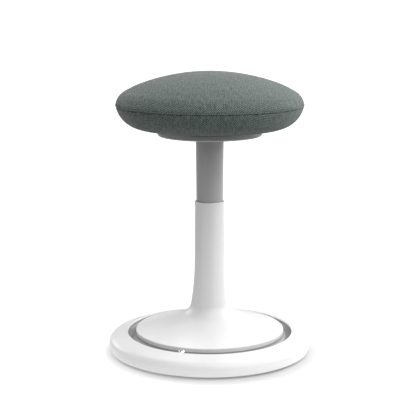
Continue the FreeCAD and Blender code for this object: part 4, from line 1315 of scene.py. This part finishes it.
@dataclass
class ReturnSprings:
    """The release ring's three return springs; in metres."""

    wardrobe: Wardrobe
    joint: str = "release_lift"
    body: str = "seat"
    wire: float = 0.9 * MM
    coil: float = 5.0 * MM
    turns: int = 2
    circle: float = 60.0 * MM
    angles: tuple[float, ...] = (60.0, 180.0, 300.0)
    travel: float = 4.0 * MM
    wire_sides: int = 10
    turn_steps: int = 28
    low_z: float = field(init=False)
    high_z: float = field(init=False)

    def __post_init__(self) -> None:
        """Reads where the springs stand."""
        low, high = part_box("return_springs")
        self.low_z, self.high_z = low.z, high.z

    def build(self) -> list[bpy.types.Object]:
        """Winds the springs.

        Returns:
            One piece for each spring.
        """
        first = self.wind()
        numbers = range(2, len(self.angles) + 1)
        springs = [first] + [self.copied(first, number) for number in numbers]
        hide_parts("return_springs")
        for spring in springs:
            self.wardrobe.dress(spring, Slot.PLAIN_STEEL)
            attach(spring, self.body)
            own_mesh(spring)
        return springs

    def stand(self, number: int) -> Vector:
        """Returns where a spring stands, by its number."""
        turn = math.radians(self.angles[number - 1])
        return Vector((self.circle * math.cos(turn), self.circle * math.sin(turn), 0.0))

    def wind(self) -> bpy.types.Object:
        """Winds the first spring from a small circle with a screw.

        Returns:
            The spring, in its place.
        """
        bottom = self.low_z + self.wire / 2
        pitch = (self.high_z - self.low_z - self.wire) / self.turns
        deselect()
        bpy.ops.mesh.primitive_circle_add(vertices=self.wire_sides, radius=self.wire / 2,
                                          rotation=(math.pi / 2, 0.0, 0.0))
        spring = bpy.context.object
        spring.name = "return_spring_1"
        bpy.ops.object.transform_apply(location=True, rotation=True, scale=True)
        bpy.ops.object.mode_set(mode="EDIT")
        bpy.ops.mesh.select_all(action="SELECT")
        bpy.ops.transform.translate(value=(self.coil, 0.0, bottom))
        bpy.ops.object.mode_set(mode="OBJECT")
        apply_modifier(spring, "SCREW", axis="Z", angle=math.tau, screw_offset=pitch,
                       iterations=self.turns, steps=self.turn_steps,
                       render_steps=self.turn_steps, use_smooth_shade=True)
        bpy.ops.object.mode_set(mode="EDIT")
        bpy.ops.mesh.select_all(action="SELECT")
        bpy.ops.mesh.remove_doubles(threshold=0.001 * MM)
        bpy.ops.mesh.fill_holes(sides=self.wire_sides)
        bpy.ops.mesh.normals_make_consistent(inside=False)
        bpy.ops.transform.translate(value=self.stand(1))
        bpy.ops.object.mode_set(mode="OBJECT")
        return spring

    def copied(self, first: bpy.types.Object, number: int) -> bpy.types.Object:
        """Copies the first spring, with its own mesh, to another place.

        Args:
            first: The first spring.
            number: The copy's number.

        Returns:
            The copy.
        """
        activate(first)
        bpy.ops.object.duplicate()
        spring = bpy.context.object
        spring.name = f"return_spring_{number}"
        bpy.ops.object.mode_set(mode="EDIT")
        bpy.ops.mesh.select_all(action="SELECT")
        bpy.ops.transform.translate(value=self.stand(number) - self.stand(1))
        bpy.ops.object.mode_set(mode="OBJECT")
        return spring


@dataclass
class SoftBox:
    """One square soft light that faces the stool."""

    name: str
    azimuth_deg: float
    elevation_deg: float
    power: float
    side: float = 0.9
    distance: float = 2.3
    aim: Place = (0.0, 0.0, 0.25)

    def build(self) -> bpy.types.Object:
        """Hangs the light, with azimuth 0 on the camera's side and 90 on the right.

        Returns:
            The light, turned to its aim.
        """
        data = bpy.data.lights.new(self.name, "AREA")
        data.size = self.side
        data.energy = self.power
        lamp = bpy.data.objects.new(self.name, data)
        bpy.context.scene.collection.objects.link(lamp)
        azimuth = math.radians(self.azimuth_deg)
        elevation = math.radians(self.elevation_deg)
        reach = self.distance * math.cos(elevation)
        away = Vector((reach * math.sin(azimuth), -reach * math.cos(azimuth),
                       self.distance * math.sin(elevation)))
        lamp.location = Vector(self.aim) + away
        lamp.rotation_euler = (-away).to_track_quat("-Z", "Y").to_euler()
        return lamp


@dataclass
class Studio:
    """White paper sweep with soft light all round, and the camera in front of the stool."""

    sky: Colour = grey(0.75)
    half_width: float = 5.0
    front: float = -5.0
    wall: float = 3.2
    cove: float = 1.2
    wall_top: float = 3.0
    camera_place: Place = (-5.1 * MM, -2210.0 * MM, 689.4 * MM)
    camera_pitch_deg: float = 10.64
    lens_mm: float = 104.7
    lights: list[SoftBox] = field(default_factory=lambda: [
        SoftBox("top_box", 0.0, 89.0, 4.9),
        SoftBox("front_high_box", 0.0, 70.0, 9.8),
        SoftBox("front_right_high_box", 30.0, 50.0, 16.4),
        SoftBox("front_right_box", 30.0, 30.0, 6.7),
        SoftBox("right_box", 90.0, 30.0, 23.6),
        SoftBox("right_low_box", 90.0, 12.0, 3.5),
        SoftBox("back_right_high_box", 135.0, 50.0, 7.4),
        SoftBox("back_right_box", 135.0, 15.0, 27.0),
        SoftBox("back_box", 180.0, 40.0, 9.5),
        SoftBox("back_left_box", 225.0, 15.0, 16.1),
        SoftBox("left_low_box", 270.0, 12.0, 4.0),
        SoftBox("left_high_box", 270.0, 70.0, 4.9),
        SoftBox("front_left_box", 330.0, 30.0, 9.2),
    ])

    def build(self, wardrobe: Wardrobe) -> None:
        """Sets up the sweep, lights and camera, and a pale sky that the camera alone sees.

        Args:
            wardrobe: The finishes.
        """
        sweep = self.make_sweep()
        sweep.data.materials.append(wardrobe.paper)
        world = bpy.data.worlds.new("studio_sky")
        world.use_nodes = True
        sky = world.node_tree.nodes["Background"]
        sky.inputs["Color"].default_value = (*self.sky, 1.0)
        graph = Graph(world.node_tree)
        seen = graph.node("ShaderNodeLightPath").outputs["Is Camera Ray"]
        graph.feed(sky.inputs["Strength"], seen)
        scene = bpy.context.scene
        scene.world = world
        scene.view_settings.view_transform = "Standard"
        for light in self.lights:
            light.build()
        self.place_camera()

    def make_sweep(self) -> bpy.types.Object:
        """Models the paper: flat floor, round cove and upright back.

        Returns:
            The sweep.
        """
        rise = arc_points((self.wall - self.cove, self.cove), self.cove, -math.pi / 2, 0.0, 24)
        floor = [(self.front, 0.0), (self.wall - self.cove, 0.0)]
        outline = floor + rise + [(self.wall, self.wall_top)]
        line = [(-self.half_width, depth, height) for depth, height in outline]
        sweep = grown("studio_sweep", line)
        bpy.ops.mesh.extrude_region_move(
            TRANSFORM_OT_translate={"value": (2.0 * self.half_width, 0.0, 0.0)})
        bpy.ops.mesh.select_all(action="SELECT")
        bpy.ops.mesh.normals_make_consistent(inside=True)
        bpy.ops.object.mode_set(mode="OBJECT")
        bpy.ops.object.shade_smooth()
        return sweep

    def place_camera(self) -> None:
        """Stands the camera in front of the stool, looking slightly down."""
        camera = bpy.data.objects.new("camera", bpy.data.cameras.new("camera"))
        bpy.context.scene.collection.objects.link(camera)
        camera.location = self.camera_place
        camera.rotation_euler = (math.radians(90.0 - self.camera_pitch_deg), 0.0, 0.0)
        camera.data.sensor_width = 36.0
        camera.data.lens = self.lens_mm
        camera.data.clip_end = 100.0
        bpy.context.scene.camera = camera


def main() -> None:
    """Builds the scene and reports each piece."""
    logging.basicConfig(level=logging.INFO, format="%(name)s: %(message)s")
    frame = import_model()
    wardrobe = Wardrobe()
    wardrobe.dress_frame(frame)
    made = SeatCushion(CushionForm(), wardrobe).build()
    made += ReturnSprings(wardrobe).build()
    Studio().build(wardrobe)
    deselect()
    for piece in made:
        LOG.info("%s: %d faces", piece.name, len(piece.data.polygons))


if __name__ == "__main__":
    main()
